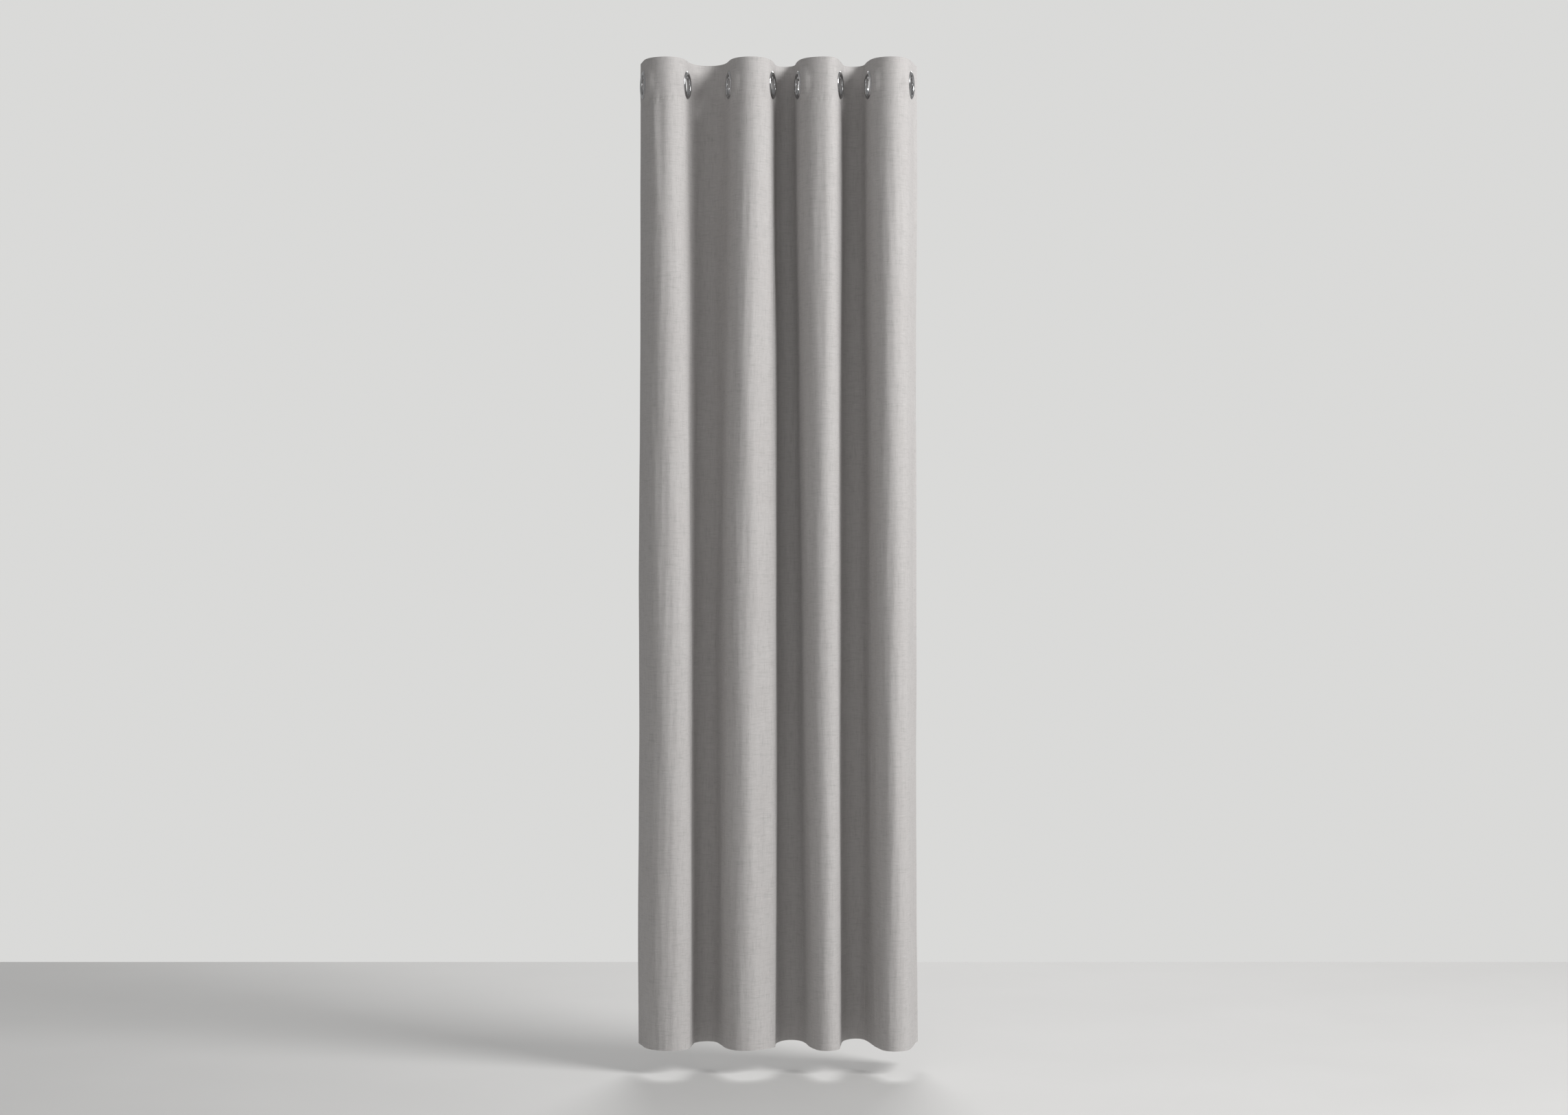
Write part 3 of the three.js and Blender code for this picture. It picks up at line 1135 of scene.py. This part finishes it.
def close_shell(faces: list[tuple[int, ...]], count: int) -> list[tuple[int, ...]]:
    """Closes a flat layout into a shell.

    Args:
        faces: The layout's faces, for the front.
        count: How many vertices the layout has. The back's follow the front's.

    Returns:
        The front, the back and the rim.
    """
    used = dict.fromkeys(edge for face in faces for edge in zip(face, (*face[1:], face[0])))
    back = [tuple(v + count for v in reversed(face)) for face in faces]
    rim = [(b, a, a + count, b + count) for a, b in used if (b, a) not in used]
    return [*faces, *back, *rim]


class ClothStrip:
    """A stretch of the curtain's cloth, as a closed shell with its hems and its eyelet hole."""

    STEP_ALONG = 4.5 * MM
    STEP_UP = 9.5 * MM
    RINGS = 3
    BACK_WEAVE = (3.7, 1.3)

    def __init__(self, drape: Drape, start: float, end: float, eyelet: int) -> None:
        """Lays out the strip's grid.

        Args:
            drape: The hanging cloth.
            start: Where the strip starts along the cloth.
            end: Where it ends.
            eyelet: The index of the eyelet that it holds.
        """
        self.drape = drape
        self.panel = drape.panel
        self.centre = np.array([self.panel.place_of(eyelet), self.panel.eyelet_height])
        self.half = 40 * MM
        self.hole = 27 * MM
        self.columns = self._spaced(start, end, self.STEP_ALONG, self._along_marks(start, end))
        self.rows = self._spaced(self.panel.hem, self.panel.top, self.STEP_UP, self._up_marks())

    def _along_marks(self, start: float, end: float) -> list[float]:
        """Places that need a grid line: the square round the eyelet and the side hems' edges.

        Args:
            start: Where the strip starts along the cloth.
            end: Where it ends.

        Returns:
            The places.
        """
        marks = [self.centre[0] - self.half, self.centre[0] + self.half]
        for edge in (self.panel.start + self.panel.side_hem, self.panel.end - self.panel.side_hem):
            marks += [edge - HEM_STEP, edge, edge + HEM_STEP]
        return [m for m in marks if start + TINY < m < end - TINY]

    def _up_marks(self) -> list[float]:
        """Heights that need a grid line: the square, the header's edge and the hem's edge.

        Returns:
            The heights.
        """
        header, hem = self.panel.header_edge, self.panel.hem + self.panel.hem_drop
        square = [self.centre[1] - self.half, self.centre[1] + self.half]
        steps = [header - HEM_STEP, header, header + 2 * MM, hem, hem + HEM_STEP, hem - 2 * MM]
        return square + steps

    @staticmethod
    def _spaced(start: float, end: float, step: float, marks: list[float]) -> np.ndarray:
        """Even grid lines between the marks.

        Args:
            start: The first line.
            end: The last line.
            step: The widest spacing.
            marks: Lines that have to be there.

        Returns:
            The grid lines.
        """
        stops = sorted([start, end, *marks])
        lines = [start]
        for low, high in zip(stops, stops[1:]):
            count = max(1, math.ceil((high - low) / step - TINY))
            lines += [low + (high - low) * k / count for k in range(1, count + 1)]
        return np.array(lines)

    def _flat(self) -> tuple[np.ndarray, list[tuple[int, ...]]]:
        """The strip laid flat, with a round hole in a square patch of spokes.

        Returns:
            Flat places, and faces that are counter-clockwise from the front.
        """
        columns, rows = self.columns, self.rows
        places = np.stack(np.meshgrid(columns, rows, indexing="ij"), axis=-1).reshape(-1, 2)
        across = len(rows)

        def at(i: int, j: int) -> int:
            """The number of a corner of the grid.

            Args:
                i: Its column.
                j: Its row.

            Returns:
                The number.
            """
            return i * across + j

        low, high = self.centre - self.half, self.centre + self.half
        i0, i1 = (int(np.argmin(abs(columns - x))) for x in (low[0], high[0]))
        j0, j1 = (int(np.argmin(abs(rows - z))) for z in (low[1], high[1]))
        faces = [
            (at(i, j), at(i + 1, j), at(i + 1, j + 1), at(i, j + 1))
            for i in range(len(columns) - 1)
            for j in range(len(rows) - 1)
            if not (i0 <= i < i1 and j0 <= j < j1)
        ]
        rim = (
            [at(i, j0) for i in range(i0, i1)] + [at(i1, j) for j in range(j0, j1)]
            + [at(i, j1) for i in range(i1, i0, -1)] + [at(i0, j) for j in range(j1, j0, -1)]
        )
        out = places[rim] - self.centre
        inner = out / np.linalg.norm(out, axis=1, keepdims=True) * self.hole
        rings = [rim]
        for k in range(1, self.RINGS + 1):
            t = k / self.RINGS
            first = len(places)
            places = np.vstack([places, self.centre + out * (1 - t) + inner * t])
            rings.append(list(range(first, first + len(rim))))
        for outer, nearer in zip(rings, rings[1:]):
            for k in range(len(rim)):
                n = (k + 1) % len(rim)
                faces.append((outer[k], outer[n], nearer[n], nearer[k]))
        return places, faces

    def build(self, name: str, material: bpy.types.Material) -> bpy.types.Object:
        """Makes the strip as one closed shell.

        Args:
            name: The piece's name.
            material: The cloth's material.

        Returns:
            The new piece.
        """
        flat, faces = self._flat()
        used = sorted({v for face in faces for v in face})
        number = {v: k for k, v in enumerate(used)}
        flat = flat[used]
        faces = [tuple(number[v] for v in face) for face in faces]
        along, up = flat[:, 0], flat[:, 1]
        thick = self.panel.thickness(along, up)
        front = self.drape.point(along, up, 0.0)
        back = self.drape.point(along, up, -thick)
        count = len(flat)
        uv = np.vstack([flat, flat + self.BACK_WEAVE])
        normals = np.vstack(
            [self._normals(along, up, Face.ROOM), self._normals(along, up, Face.WINDOW)]
        )
        points = np.vstack([front, back])
        return new_object(name, points, close_shell(faces, count), material, uv, normals)

    def _normals(self, along: np.ndarray, up: np.ndarray, face: Face) -> np.ndarray:
        """The exact outward normals of one face of the cloth.

        Args:
            along: Places along the cloth.
            up: Heights.
            face: Which face.

        Returns:
            A unit vector for each place.
        """
        reach = 0.8 * MM

        def surface(s: np.ndarray, z: np.ndarray) -> np.ndarray:
            """Points on the chosen face of the cloth.

            Args:
                s: Places along the cloth.
                z: Heights.

            Returns:
                Points, with a last axis of three.
            """
            behind = 0.0 if face is Face.ROOM else -self.panel.thickness(s, z)
            return self.drape.point(s, z, behind)

        out = np.cross(
            surface(along + reach, up) - surface(along - reach, up),
            surface(along, up + reach) - surface(along, up - reach),
        )
        return face.value * out / np.linalg.norm(out, axis=-1, keepdims=True)


@dataclass
class Eyelet:
    """One pressed metal eyelet: a front ring whose barrel is rolled over a rear washer.

    Attributes:
        bore: Radius of the hole.
        outer: Radius of the flange.
        header: Thickness of the cloth that it clamps.
        spokes: How many steps there are round it.
    """

    bore: float = 24 * MM
    outer: float = 34 * MM
    header: float = 2.8 * MM
    spokes: int = 96

    def _front_profile(self) -> list[tuple[float, float]]:
        """Radius and depth behind the cloth's face, round the front ring's section.

        Returns:
            The section's corners.
        """
        crown = [
            (self.bore + 5.0 * MM - 5.0 * MM * math.cos(a), -0.4 * MM - 3.0 * MM * math.sin(a))
            for a in np.linspace(0.0, math.pi / 2, 9)
        ]
        slope = [
            (
                self.bore + 5.0 * MM + 4.6 * MM * t,
                -0.4 * MM - 3.0 * MM * math.cos(t * math.pi / 2) ** 0.9,
            )
            for t in np.linspace(0.15, 0.93, 8)
        ]
        lip = [
            (self.outer - 0.15 * MM, -0.75 * MM),
            (self.outer, -0.4 * MM),
            (self.outer - 0.3 * MM, -0.1 * MM),
        ]
        barrel = self.bore + 1.0 * MM
        back = self.header + 2.8 * MM
        inside = [
            (self.outer - 2.0 * MM, -0.1 * MM), (barrel + 0.6 * MM, -0.1 * MM), (barrel, 0.5 * MM)
        ]
        roll = [
            (barrel, back),
            (barrel + 0.6 * MM, back + 0.35 * MM),
            (barrel + 2.2 * MM, back + 0.2 * MM),
            (barrel + 2.7 * MM, back + 0.6 * MM), (barrel + 2.3 * MM, back + 1.1 * MM),
            (barrel + 0.9 * MM, back + 1.5 * MM), (self.bore + 0.3 * MM, back + 1.0 * MM),
            (self.bore, back + 0.1 * MM),
        ]
        return crown + slope + lip + inside + roll

    def _rear_profile(self) -> list[tuple[float, float]]:
        """Radius and depth behind the cloth's face, round the rear washer's section.

        Returns:
            The section's corners.
        """
        back = self.header + 2.7 * MM
        inner = self.bore + 1.7 * MM
        face = self.header + 0.15 * MM
        return [
            (inner, face), (self.outer - 0.6 * MM, face), (self.outer, face + 0.3 * MM),
            (self.outer - 0.2 * MM, face + 0.8 * MM), (self.outer - 1.6 * MM, back - 0.7 * MM),
            (self.outer - 3.4 * MM, back - 0.15 * MM), (self.outer - 5.0 * MM, back), (inner, back),
        ]

    def _turned(self, profile: list[tuple[float, float]], centre: Vector, turn: float) -> tuple:
        """Turns a closed section about an eyelet's axis.

        Args:
            profile: The section's corners.
            centre: The eyelet's centre on the cloth's front face.
            turn: The cloth's heading there, in radians.

        Returns:
            Points and faces.
        """
        angles = np.linspace(0.0, 2.0 * math.pi, self.spokes, endpoint=False)
        along = np.array([math.cos(turn), math.sin(turn), 0.0])
        behind = np.array([-math.sin(turn), math.cos(turn), 0.0])
        up = np.array([0.0, 0.0, 1.0])
        points = [
            np.array(centre) + radius * (math.cos(a) * along + math.sin(a) * up) + depth * behind
            for a in angles for radius, depth in profile
        ]
        count = len(profile)
        faces = []
        for k in range(self.spokes):
            a, b = k * count, (k + 1) % self.spokes * count
            for i in range(count):
                j = (i + 1) % count
                faces.append((a + i, a + j, b + j, b + i))
        return np.array(points), faces

    def build(
        self, face: Face, name: str, centre: Vector, turn: float, material: bpy.types.Material
    ) -> bpy.types.Object:
        """Makes the front ring or the rear washer.

        Args:
            face: The face of the cloth that it sits on.
            name: The piece's name.
            centre: The eyelet's centre on the cloth's front face.
            turn: The cloth's heading there, in radians.
            material: The plating.

        Returns:
            The new piece.
        """
        profile = self._front_profile() if face is Face.ROOM else self._rear_profile()
        points, faces = self._turned(profile, centre, turn)
        made = new_object(name, points, faces, material)
        made.data.set_sharp_from_angle(angle=math.radians(50))
        return made


# ---------------------------------------------------------------- sewing


class StitchRows:
    """Rows of machine stitches along lines on the cloth, made with Geometry Nodes."""

    def __init__(self, thread: bpy.types.Material) -> None:
        """Builds the node tree that lays stitches along lines.

        Args:
            thread: The thread's material.
        """
        self.thread = thread
        self.tree = bpy.data.node_groups.new("stitch_rows", "GeometryNodeTree")
        self.sockets: dict[str, str] = {}
        self._socket("Lines", "NodeSocketGeometry")
        for name, default in (
            ("Pitch", 3.6 * MM), ("Stitch Length", 2.9 * MM), ("Thread Radius", 0.24 * MM)
        ):
            self._socket(name, "NodeSocketFloat", default)
        self._socket("Seed", "NodeSocketInt", 5)
        self._socket("Thread", "NodeSocketMaterial")
        self.tree.interface.new_socket(
            name="Stitches", in_out="OUTPUT", socket_type="NodeSocketGeometry"
        )
        self._wire()

    def _socket(self, name: str, kind: str, default: float | None = None) -> None:
        """Adds a named input to the tree and keeps its identifier.

        Args:
            name: The input's name.
            kind: The socket's type.
            default: Its value.
        """
        socket = self.tree.interface.new_socket(name=name, in_out="INPUT", socket_type=kind)
        if default is not None:
            socket.default_value = default
        self.sockets[name] = socket.identifier

    def _node(self, kind: str, links: dict | None = None, **settings: object) -> bpy.types.Node:
        """Adds a node, sets its properties and connects its inputs.

        Args:
            kind: The node's type.
            links: Sockets or values, by input name or number.
            settings: The node's properties.

        Returns:
            The new node.
        """
        return add_node(self.tree, kind, links, **settings)

    def _wire(self) -> None:
        """Connects the tree: lines to spaced points, and a small plump stitch on each."""
        enter = self._node("NodeGroupInput").outputs
        curve = self._node("GeometryNodeMeshToCurve", {"Mesh": enter["Lines"]})
        spaced = self._node(
            "GeometryNodeResampleCurve",
            {"Curve": curve.outputs[0], "Length": enter["Pitch"]},
            mode="LENGTH",
        )
        half = self._node(
            "ShaderNodeMath", {0: enter["Stitch Length"], 1: 0.5}, operation="MULTIPLY"
        )
        size = self._node(
            "ShaderNodeCombineXYZ",
            {"X": half.outputs[0], "Y": enter["Thread Radius"], "Z": enter["Thread Radius"]},
        )
        bead = self._node("GeometryNodeMeshUVSphere", {"Segments": 6, "Rings": 4, "Radius": 1.0})
        turned = self._node(
            "GeometryNodeTransform",
            {"Geometry": bead.outputs["Mesh"], "Rotation": (0.0, math.pi / 2, 0.0)},
        )
        stitch = self._node(
            "GeometryNodeTransform", {"Geometry": turned.outputs[0], "Scale": size.outputs[0]}
        )
        tangent = self._node("GeometryNodeInputTangent")
        facing = self._node(
            "FunctionNodeAlignRotationToVector", {"Vector": tangent.outputs[0]}, axis="X"
        )
        slack = self._node(
            "FunctionNodeRandomValue",
            {"Min": (0.9, 0.9, 0.9), "Max": (1.06, 1.1, 1.1), "Seed": enter["Seed"]},
            data_type="FLOAT_VECTOR",
        )
        placed = self._node("GeometryNodeInstanceOnPoints", {
            "Points": spaced.outputs[0], "Instance": stitch.outputs[0],
            "Rotation": facing.outputs[0], "Scale": slack.outputs[0],
        })
        solid = self._node("GeometryNodeRealizeInstances", {"Geometry": placed.outputs[0]})
        dressed = self._node(
            "GeometryNodeSetMaterial", {"Geometry": solid.outputs[0], "Material": enter["Thread"]}
        )
        leave = self._node("NodeGroupOutput")
        self.tree.links.new(dressed.outputs[0], leave.inputs["Stitches"])

    def build(self, name: str, lines: list[np.ndarray]) -> bpy.types.Object:
        """Sews along lines.

        Args:
            name: The piece's name.
            lines: Polylines in the frame.

        Returns:
            The stitches as one plain mesh.
        """
        mesh = bpy.data.meshes.new(name + "_lines")
        starts = np.cumsum([0] + [len(line) for line in lines])
        edges = [
            (int(s) + k, int(s) + k + 1)
            for s, line in zip(starts, lines)
            for k in range(len(line) - 1)
        ]
        mesh.from_pydata(np.vstack(lines).tolist(), edges, [])
        guide = bpy.data.objects.new(name + "_lines", mesh)
        bpy.context.scene.collection.objects.link(guide)
        modifier = guide.modifiers.new("sewing", "NODES")
        modifier.node_group = self.tree
        modifier[self.sockets["Thread"]] = self.thread
        modifier[self.sockets["Seed"]] = len(name)
        depsgraph = bpy.context.evaluated_depsgraph_get()
        sewn = bpy.data.meshes.new_from_object(guide.evaluated_get(depsgraph), depsgraph=depsgraph)
        bpy.data.objects.remove(guide)
        sewn.name = name
        if not sewn.materials:
            sewn.materials.append(self.thread)
        sewn.shade_smooth()
        made = bpy.data.objects.new(name, sewn)
        bpy.context.scene.collection.objects.link(made)
        return made


# ---------------------------------------------------------------- the curtain


@dataclass(frozen=True)
class Bend:
    """Where a strip would bend between two bodies, as a direction between two points.

    Attributes:
        before: The body that the bend starts from. Not used.
        after: The body that it leads to. Not used.
        start: A point where the bend starts. Not used.
        end: A point where it ends. Not used.
    """

    before: str
    after: str
    start: tuple[float, float, float]
    end: tuple[float, float, float]

    def apply(self, piece: bpy.types.Object) -> None:
        """Bakes the piece's placement into its mesh. It sets up no bend.

        Args:
            piece: The piece.
        """
        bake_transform(piece)


class Curtain:
    """The whole panel: its cloth in strips, its sewing, its eyelets and its care label."""

    GRIP = 56 * MM
    GRIP_POINTS = 15
    EDGE_POINTS = 160
    RING_EDGE = 33 * MM
    LABEL_ALONG = (-48 * MM, -18 * MM)
    LABEL_THICK = 0.35 * MM
    LABEL_CLEAR = 0.25 * MM
    LABEL_LIFT = 2.2 * MM

    def __init__(self) -> None:
        """Reads the panel's sizes and works out how the cloth hangs."""
        self.panel = Panel()
        self.drape = Drape(self.panel)
        self.linen = Linen().material()
        self.plating = Plating().material()
        self.rows = StitchRows(Thread().material())
        self.strips: list[bpy.types.Object] = []

    def _stretch(self, index: int) -> tuple[float, float]:
        """Where a strip starts and ends along the cloth.

        Args:
            index: The strip's index from the left.

        Returns:
            The two places.
        """
        start = self.panel.start if index == 0 else self.panel.place_of(index - 1) + self.GRIP
        last = index == len(self.panel.eyelets) - 1
        end = self.panel.end if last else self.panel.place_of(index) + self.GRIP
        return start, end

    def _edge_points(self, along: float) -> np.ndarray:
        """Points up one line across the cloth.

        Args:
            along: The place along the cloth.

        Returns:
            Points from the hem to the top.
        """
        heights = np.linspace(self.panel.hem, self.panel.top, self.EDGE_POINTS)
        return self.drape.point(np.full_like(heights, along), heights, 0.0)

    def _bend(self, index: int) -> Bend:
        """The bend in a strip: just past the first eyelet, or at the crest or trough before its own.

        Args:
            index: The strip's index, which is also its eyelet's.

        Returns:
            The bend.
        """
        margin = 1.5 * MM
        if index == 0:
            held = self._edge_points(self.RING_EDGE)[:, 1].min() - margin
            free = self._edge_points(self.GRIP)[:, 1].max() + margin
            return Bend("outer_edge", "span_1", (0.0, held, 0.0), (0.0, free, 0.0))
        before = self._edge_points(self.panel.place_of(index - 1) + self.GRIP)[:, 0].max() + margin
        centre = self.panel.place_of(index)
        held = np.linspace(centre - self.GRIP, centre + self.GRIP, self.GRIP_POINTS)
        after = min(self._edge_points(s)[:, 0].min() for s in held) - margin
        LOG.info("strip %d bends from x=%.1f mm to x=%.1f mm", index, before / MM, after / MM)
        return Bend(f"span_{index}", f"span_{index + 1}", (before, 0.0, 0.0), (after, 0.0, 0.0))

    def _replaced(self, body: str) -> list[str]:
        """The frame's plain cloth, header and stiffener solids on a body.

        Args:
            body: The body's name.

        Returns:
            The solids' names.
        """
        plain = ("cloth_", "header_", "stiffener_")
        return [
            node for node in frame["record"]["behaviour"]["bodies"][body] if node.startswith(plain)
        ]

    def _rows_on(self, start: float, end: float) -> list[np.ndarray]:
        """The stitch rows on a stretch of cloth, on both of its faces.

        Args:
            start: Where the stretch starts.
            end: Where it ends.

        Returns:
            Polylines just clear of the cloth.
        """
        panel, lines = self.panel, []
        along = np.linspace(start + 2 * MM, end - 2 * MM, max(2, round((end - start) / (3 * MM))))
        hem_row = panel.hem + panel.hem_drop - 3 * MM
        header_row = panel.header_edge + 3 * MM
        paths = [(along, np.full_like(along, hem_row)), (along, np.full_like(along, header_row))]
        up = np.linspace(hem_row + 4 * MM, header_row - 4 * MM, 600)
        for side in (panel.start + panel.side_hem - 3 * MM, panel.end - panel.side_hem + 3 * MM):
            if start < side < end:
                paths.append((np.full_like(up, side), up))
        for s, z in paths:
            lines.append(self.drape.point(s, z, 0.05 * MM))
            lines.append(self.drape.point(s, z, -panel.thickness(s, z) - 0.05 * MM))
        return lines

    def make_cloth(self) -> None:
        """Makes the cloth and its sewing, strip by strip."""
        for index in range(len(self.panel.eyelets)):
            start, end = self._stretch(index)
            bend = self._bend(index)
            strip = ClothStrip(self.drape, start, end, index).build(
                f"curtain_cloth_{index + 1}", self.linen
            )
            bodies = ["outer_edge", "span_1"] if index == 0 else [f"span_{index + 1}"]
            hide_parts(*[node for body in bodies for node in self._replaced(body)])
            stitches = self.rows.build(f"stitches_{index + 1}", self._rows_on(start, end))
            for piece in (strip, stitches):
                bend.apply(piece)
            self.strips.append(strip)
            LOG.info(
                "%s: %d faces, %.0f mm of cloth",
                strip.name,
                len(strip.data.polygons),
                (end - start) / MM,
            )

    def make_eyelets(self) -> None:
        """Makes the two halves of every eyelet."""
        shape = Eyelet()
        for index, centre in enumerate(self.panel.eyelets):
            body = "outer_edge" if index == 0 else f"span_{index + 1}"
            for face, word, node in ((Face.ROOM, "ring", "front"), (Face.WINDOW, "washer", "rear")):
                name = f"eyelet_{word}_{index + 1}"
                piece = shape.build(face, name, centre, self.panel.turn_of(index), self.plating)
                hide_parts(f"eyelet_{index + 1}_{node}")
                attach(piece, body)
            LOG.info("eyelet %d at x=%.1f mm", index + 1, centre.x / MM)

    def make_label(self) -> None:
        """Makes the blank care label, sewn by one end into the back of the left side hem."""
        low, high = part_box("care_label")
        height = np.linspace(low.z, high.z, 12)
        along = np.linspace(*self.LABEL_ALONG, 14)
        s, z = np.meshgrid(along, height, indexing="ij")
        away = (s - along[0]) / (along[-1] - along[0])
        ripple = 0.6 + 0.4 * np.sin((z - low.z) * 40)
        lift = self.LABEL_CLEAR + self.LABEL_LIFT * away**2 * ripple
        depth = self.panel.thickness(s, z)
        hem = np.where(
            s < self.panel.start + self.panel.side_hem, 0.0, self.panel.hem_thick - depth
        )
        near = self.drape.point(s, z, -(depth + hem + lift))
        far = self.drape.point(s, z, -(depth + hem + lift + self.LABEL_THICK))
        across = len(height)
        faces = [
            (i * across + j, (i + 1) * across + j, (i + 1) * across + j + 1, i * across + j + 1)
            for i in range(len(along) - 1) for j in range(across - 1)
        ]
        points = np.vstack([near.reshape(-1, 3), far.reshape(-1, 3)])
        uv = np.vstack([np.stack([s.ravel(), z.ravel()], axis=-1)] * 2)
        shell = close_shell(faces, s.size)
        label = new_object("care_label_ribbon", points, shell, Satin().material(), uv)
        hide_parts("care_label")
        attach(label, "outer_edge")
        LOG.info("care label, %.0f mm tall", (high.z - low.z) / MM)


# ---------------------------------------------------------------- floor, light and camera


@dataclass
class Studio:
    """A plain pale floor, soft light from high on the right, two weak lamps and the camera.

    Attributes:
        floor_gap: How far the floor is below the hem.
        floor_colour: The floor's linear colour.
        floor_mottle: The colour that broad patches of it lean towards.
        floor_depth: How far it reaches behind the pole line.
        floor_reach: How far it reaches to the sides and to the front.
        key_angle: The main lamp's angle from straight in front, in degrees towards the right.
        key_height: The height of the main lamp and of the back lamp.
        key_size: The lamps' diameter.
        lamp_distance: The lamps' distance from the middle, in plan.
        backdrop: The linear colour of the surroundings, as seen.
        fill: The strength of the light that they give.
        back_power: The back lamp's power in watts.
        front_power: The front lamp's.
        back_angle: The back lamp's angle, in degrees.
        front_angle: The front lamp's.
        front_height: The front lamp's height.
        aim_height: The height that the lamps point at.
        key_power: The main lamp's power in watts.
        camera_place: The camera's place.
        lens: Its focal length in millimetres.
    """

    floor_gap: float = 60 * MM
    floor_colour: tuple[float, float, float] = (0.56, 0.556, 0.548)
    floor_mottle: tuple[float, float, float] = (0.53, 0.526, 0.518)
    floor_depth: float = 1.78
    floor_reach: float = 9.0
    key_angle: float = 60.0
    key_height: float = 2.6
    key_size: float = 3.6
    lamp_distance: float = 6.0
    backdrop: tuple[float, float, float] = (0.70, 0.70, 0.69)
    fill: float = 0.33
    back_power: float = 240.0
    front_power: float = 18.0
    back_angle: float = 176.0
    front_angle: float = -8.0
    front_height: float = -0.6
    aim_height: float = -0.9
    key_power: float = 505.0
    camera_place: tuple[float, float, float] = (0.0165, -6.6, -1.162)
    lens: float = 62.2

    def _floor(self) -> None:
        """Makes the floor, a little below the hem."""
        z = CAD_BOX[0].z - self.floor_gap
        made, tree, shader = start_material("pale_floor")
        place = add_node(tree, "TexCoord").outputs["Object"]
        mottle = add_node(
            tree, "TexNoise", {"Vector": place, "Scale": 3.0, "Detail": 4.0}
        ).outputs["Fac"]
        tone = add_node(
            tree,
            "Mix",
            {0: mottle, 6: (*self.floor_colour, 1.0), 7: (*self.floor_mottle, 1.0)},
            data_type="RGBA",
        )
        tree.links.new(tone.outputs[2], shader.inputs["Base Color"])
        shader.inputs["Roughness"].default_value = 0.7
        reach, back = self.floor_reach, self.floor_depth
        corners = np.array(
            [[-reach, -reach, z], [reach, -reach, z], [reach, back, z], [-reach, back, z]]
        )
        new_object("floor", corners, [(0, 1, 2, 3)], made)

    def _world(self) -> None:
        """Makes the pale surroundings, which light the curtain more softly than they look."""
        world = bpy.data.worlds.new("studio")
        bpy.context.scene.world = world
        world.use_nodes = True
        tree = world.node_tree
        tree.nodes.clear()
        seen = add_node(tree, "Background", {"Color": (*self.backdrop, 1.0), "Strength": 1.0})
        lit = add_node(tree, "Background", {"Color": (1.0, 1.0, 1.0, 1.0), "Strength": self.fill})
        path = add_node(tree, "LightPath")
        mix = add_node(
            tree,
            "MixShader",
            {0: path.outputs["Is Camera Ray"], 1: lit.outputs[0], 2: seen.outputs[0]},
        )
        out = add_node(tree, "OutputWorld")
        tree.links.new(mix.outputs[0], out.inputs["Surface"])

    def _lamp(self, name: str, angle: float, power: float, height: float) -> None:
        """Makes a large soft light.

        Args:
            name: The lamp's name.
            angle: Degrees round from straight in front, towards the right.
            power: Its power in watts.
            height: Its height in the frame.
        """
        data = bpy.data.lights.new(name, "AREA")
        data.shape = "DISK"
        data.size = self.key_size
        data.energy = power
        lamp = bpy.data.objects.new(name, data)
        turn = math.radians(angle)
        lamp.location = (
            self.lamp_distance * math.sin(turn), -self.lamp_distance * math.cos(turn), height
        )
        aim = Vector((0.0, 0.0, self.aim_height)) - lamp.location
        lamp.rotation_euler = aim.to_track_quat("-Z", "Y").to_euler()
        bpy.context.scene.collection.objects.link(lamp)

    def _camera(self) -> None:
        """Makes the camera, level and square to the pole."""
        data = bpy.data.cameras.new("camera")
        data.lens = self.lens
        data.sensor_width = 36.0
        data.clip_end = 60.0
        camera = bpy.data.objects.new("camera", data)
        camera.location = self.camera_place
        camera.rotation_euler = (math.pi / 2, 0.0, 0.0)
        bpy.context.scene.collection.objects.link(camera)
        bpy.context.scene.camera = camera

    def build(self) -> None:
        """Makes the floor, the surroundings, the light and the camera."""
        bpy.context.scene.view_settings.view_transform = "Standard"
        self._floor()
        self._world()
        self._lamp("key", self.key_angle, self.key_power, self.key_height)
        self._lamp("back", self.back_angle, self.back_power, self.key_height)
        self._lamp("front", self.front_angle, self.front_power, self.front_height)
        self._camera()
        LOG.info("studio ready")


def main() -> None:
    """Builds the studio and the curtain."""
    logging.basicConfig(level=logging.INFO, format="%(name)s: %(message)s")
    Studio().build()
    curtain = Curtain()
    curtain.make_eyelets()
    curtain.make_cloth()
    curtain.make_label()
    bpy.context.view_layer.update()


if __name__ == "__main__":
    main()
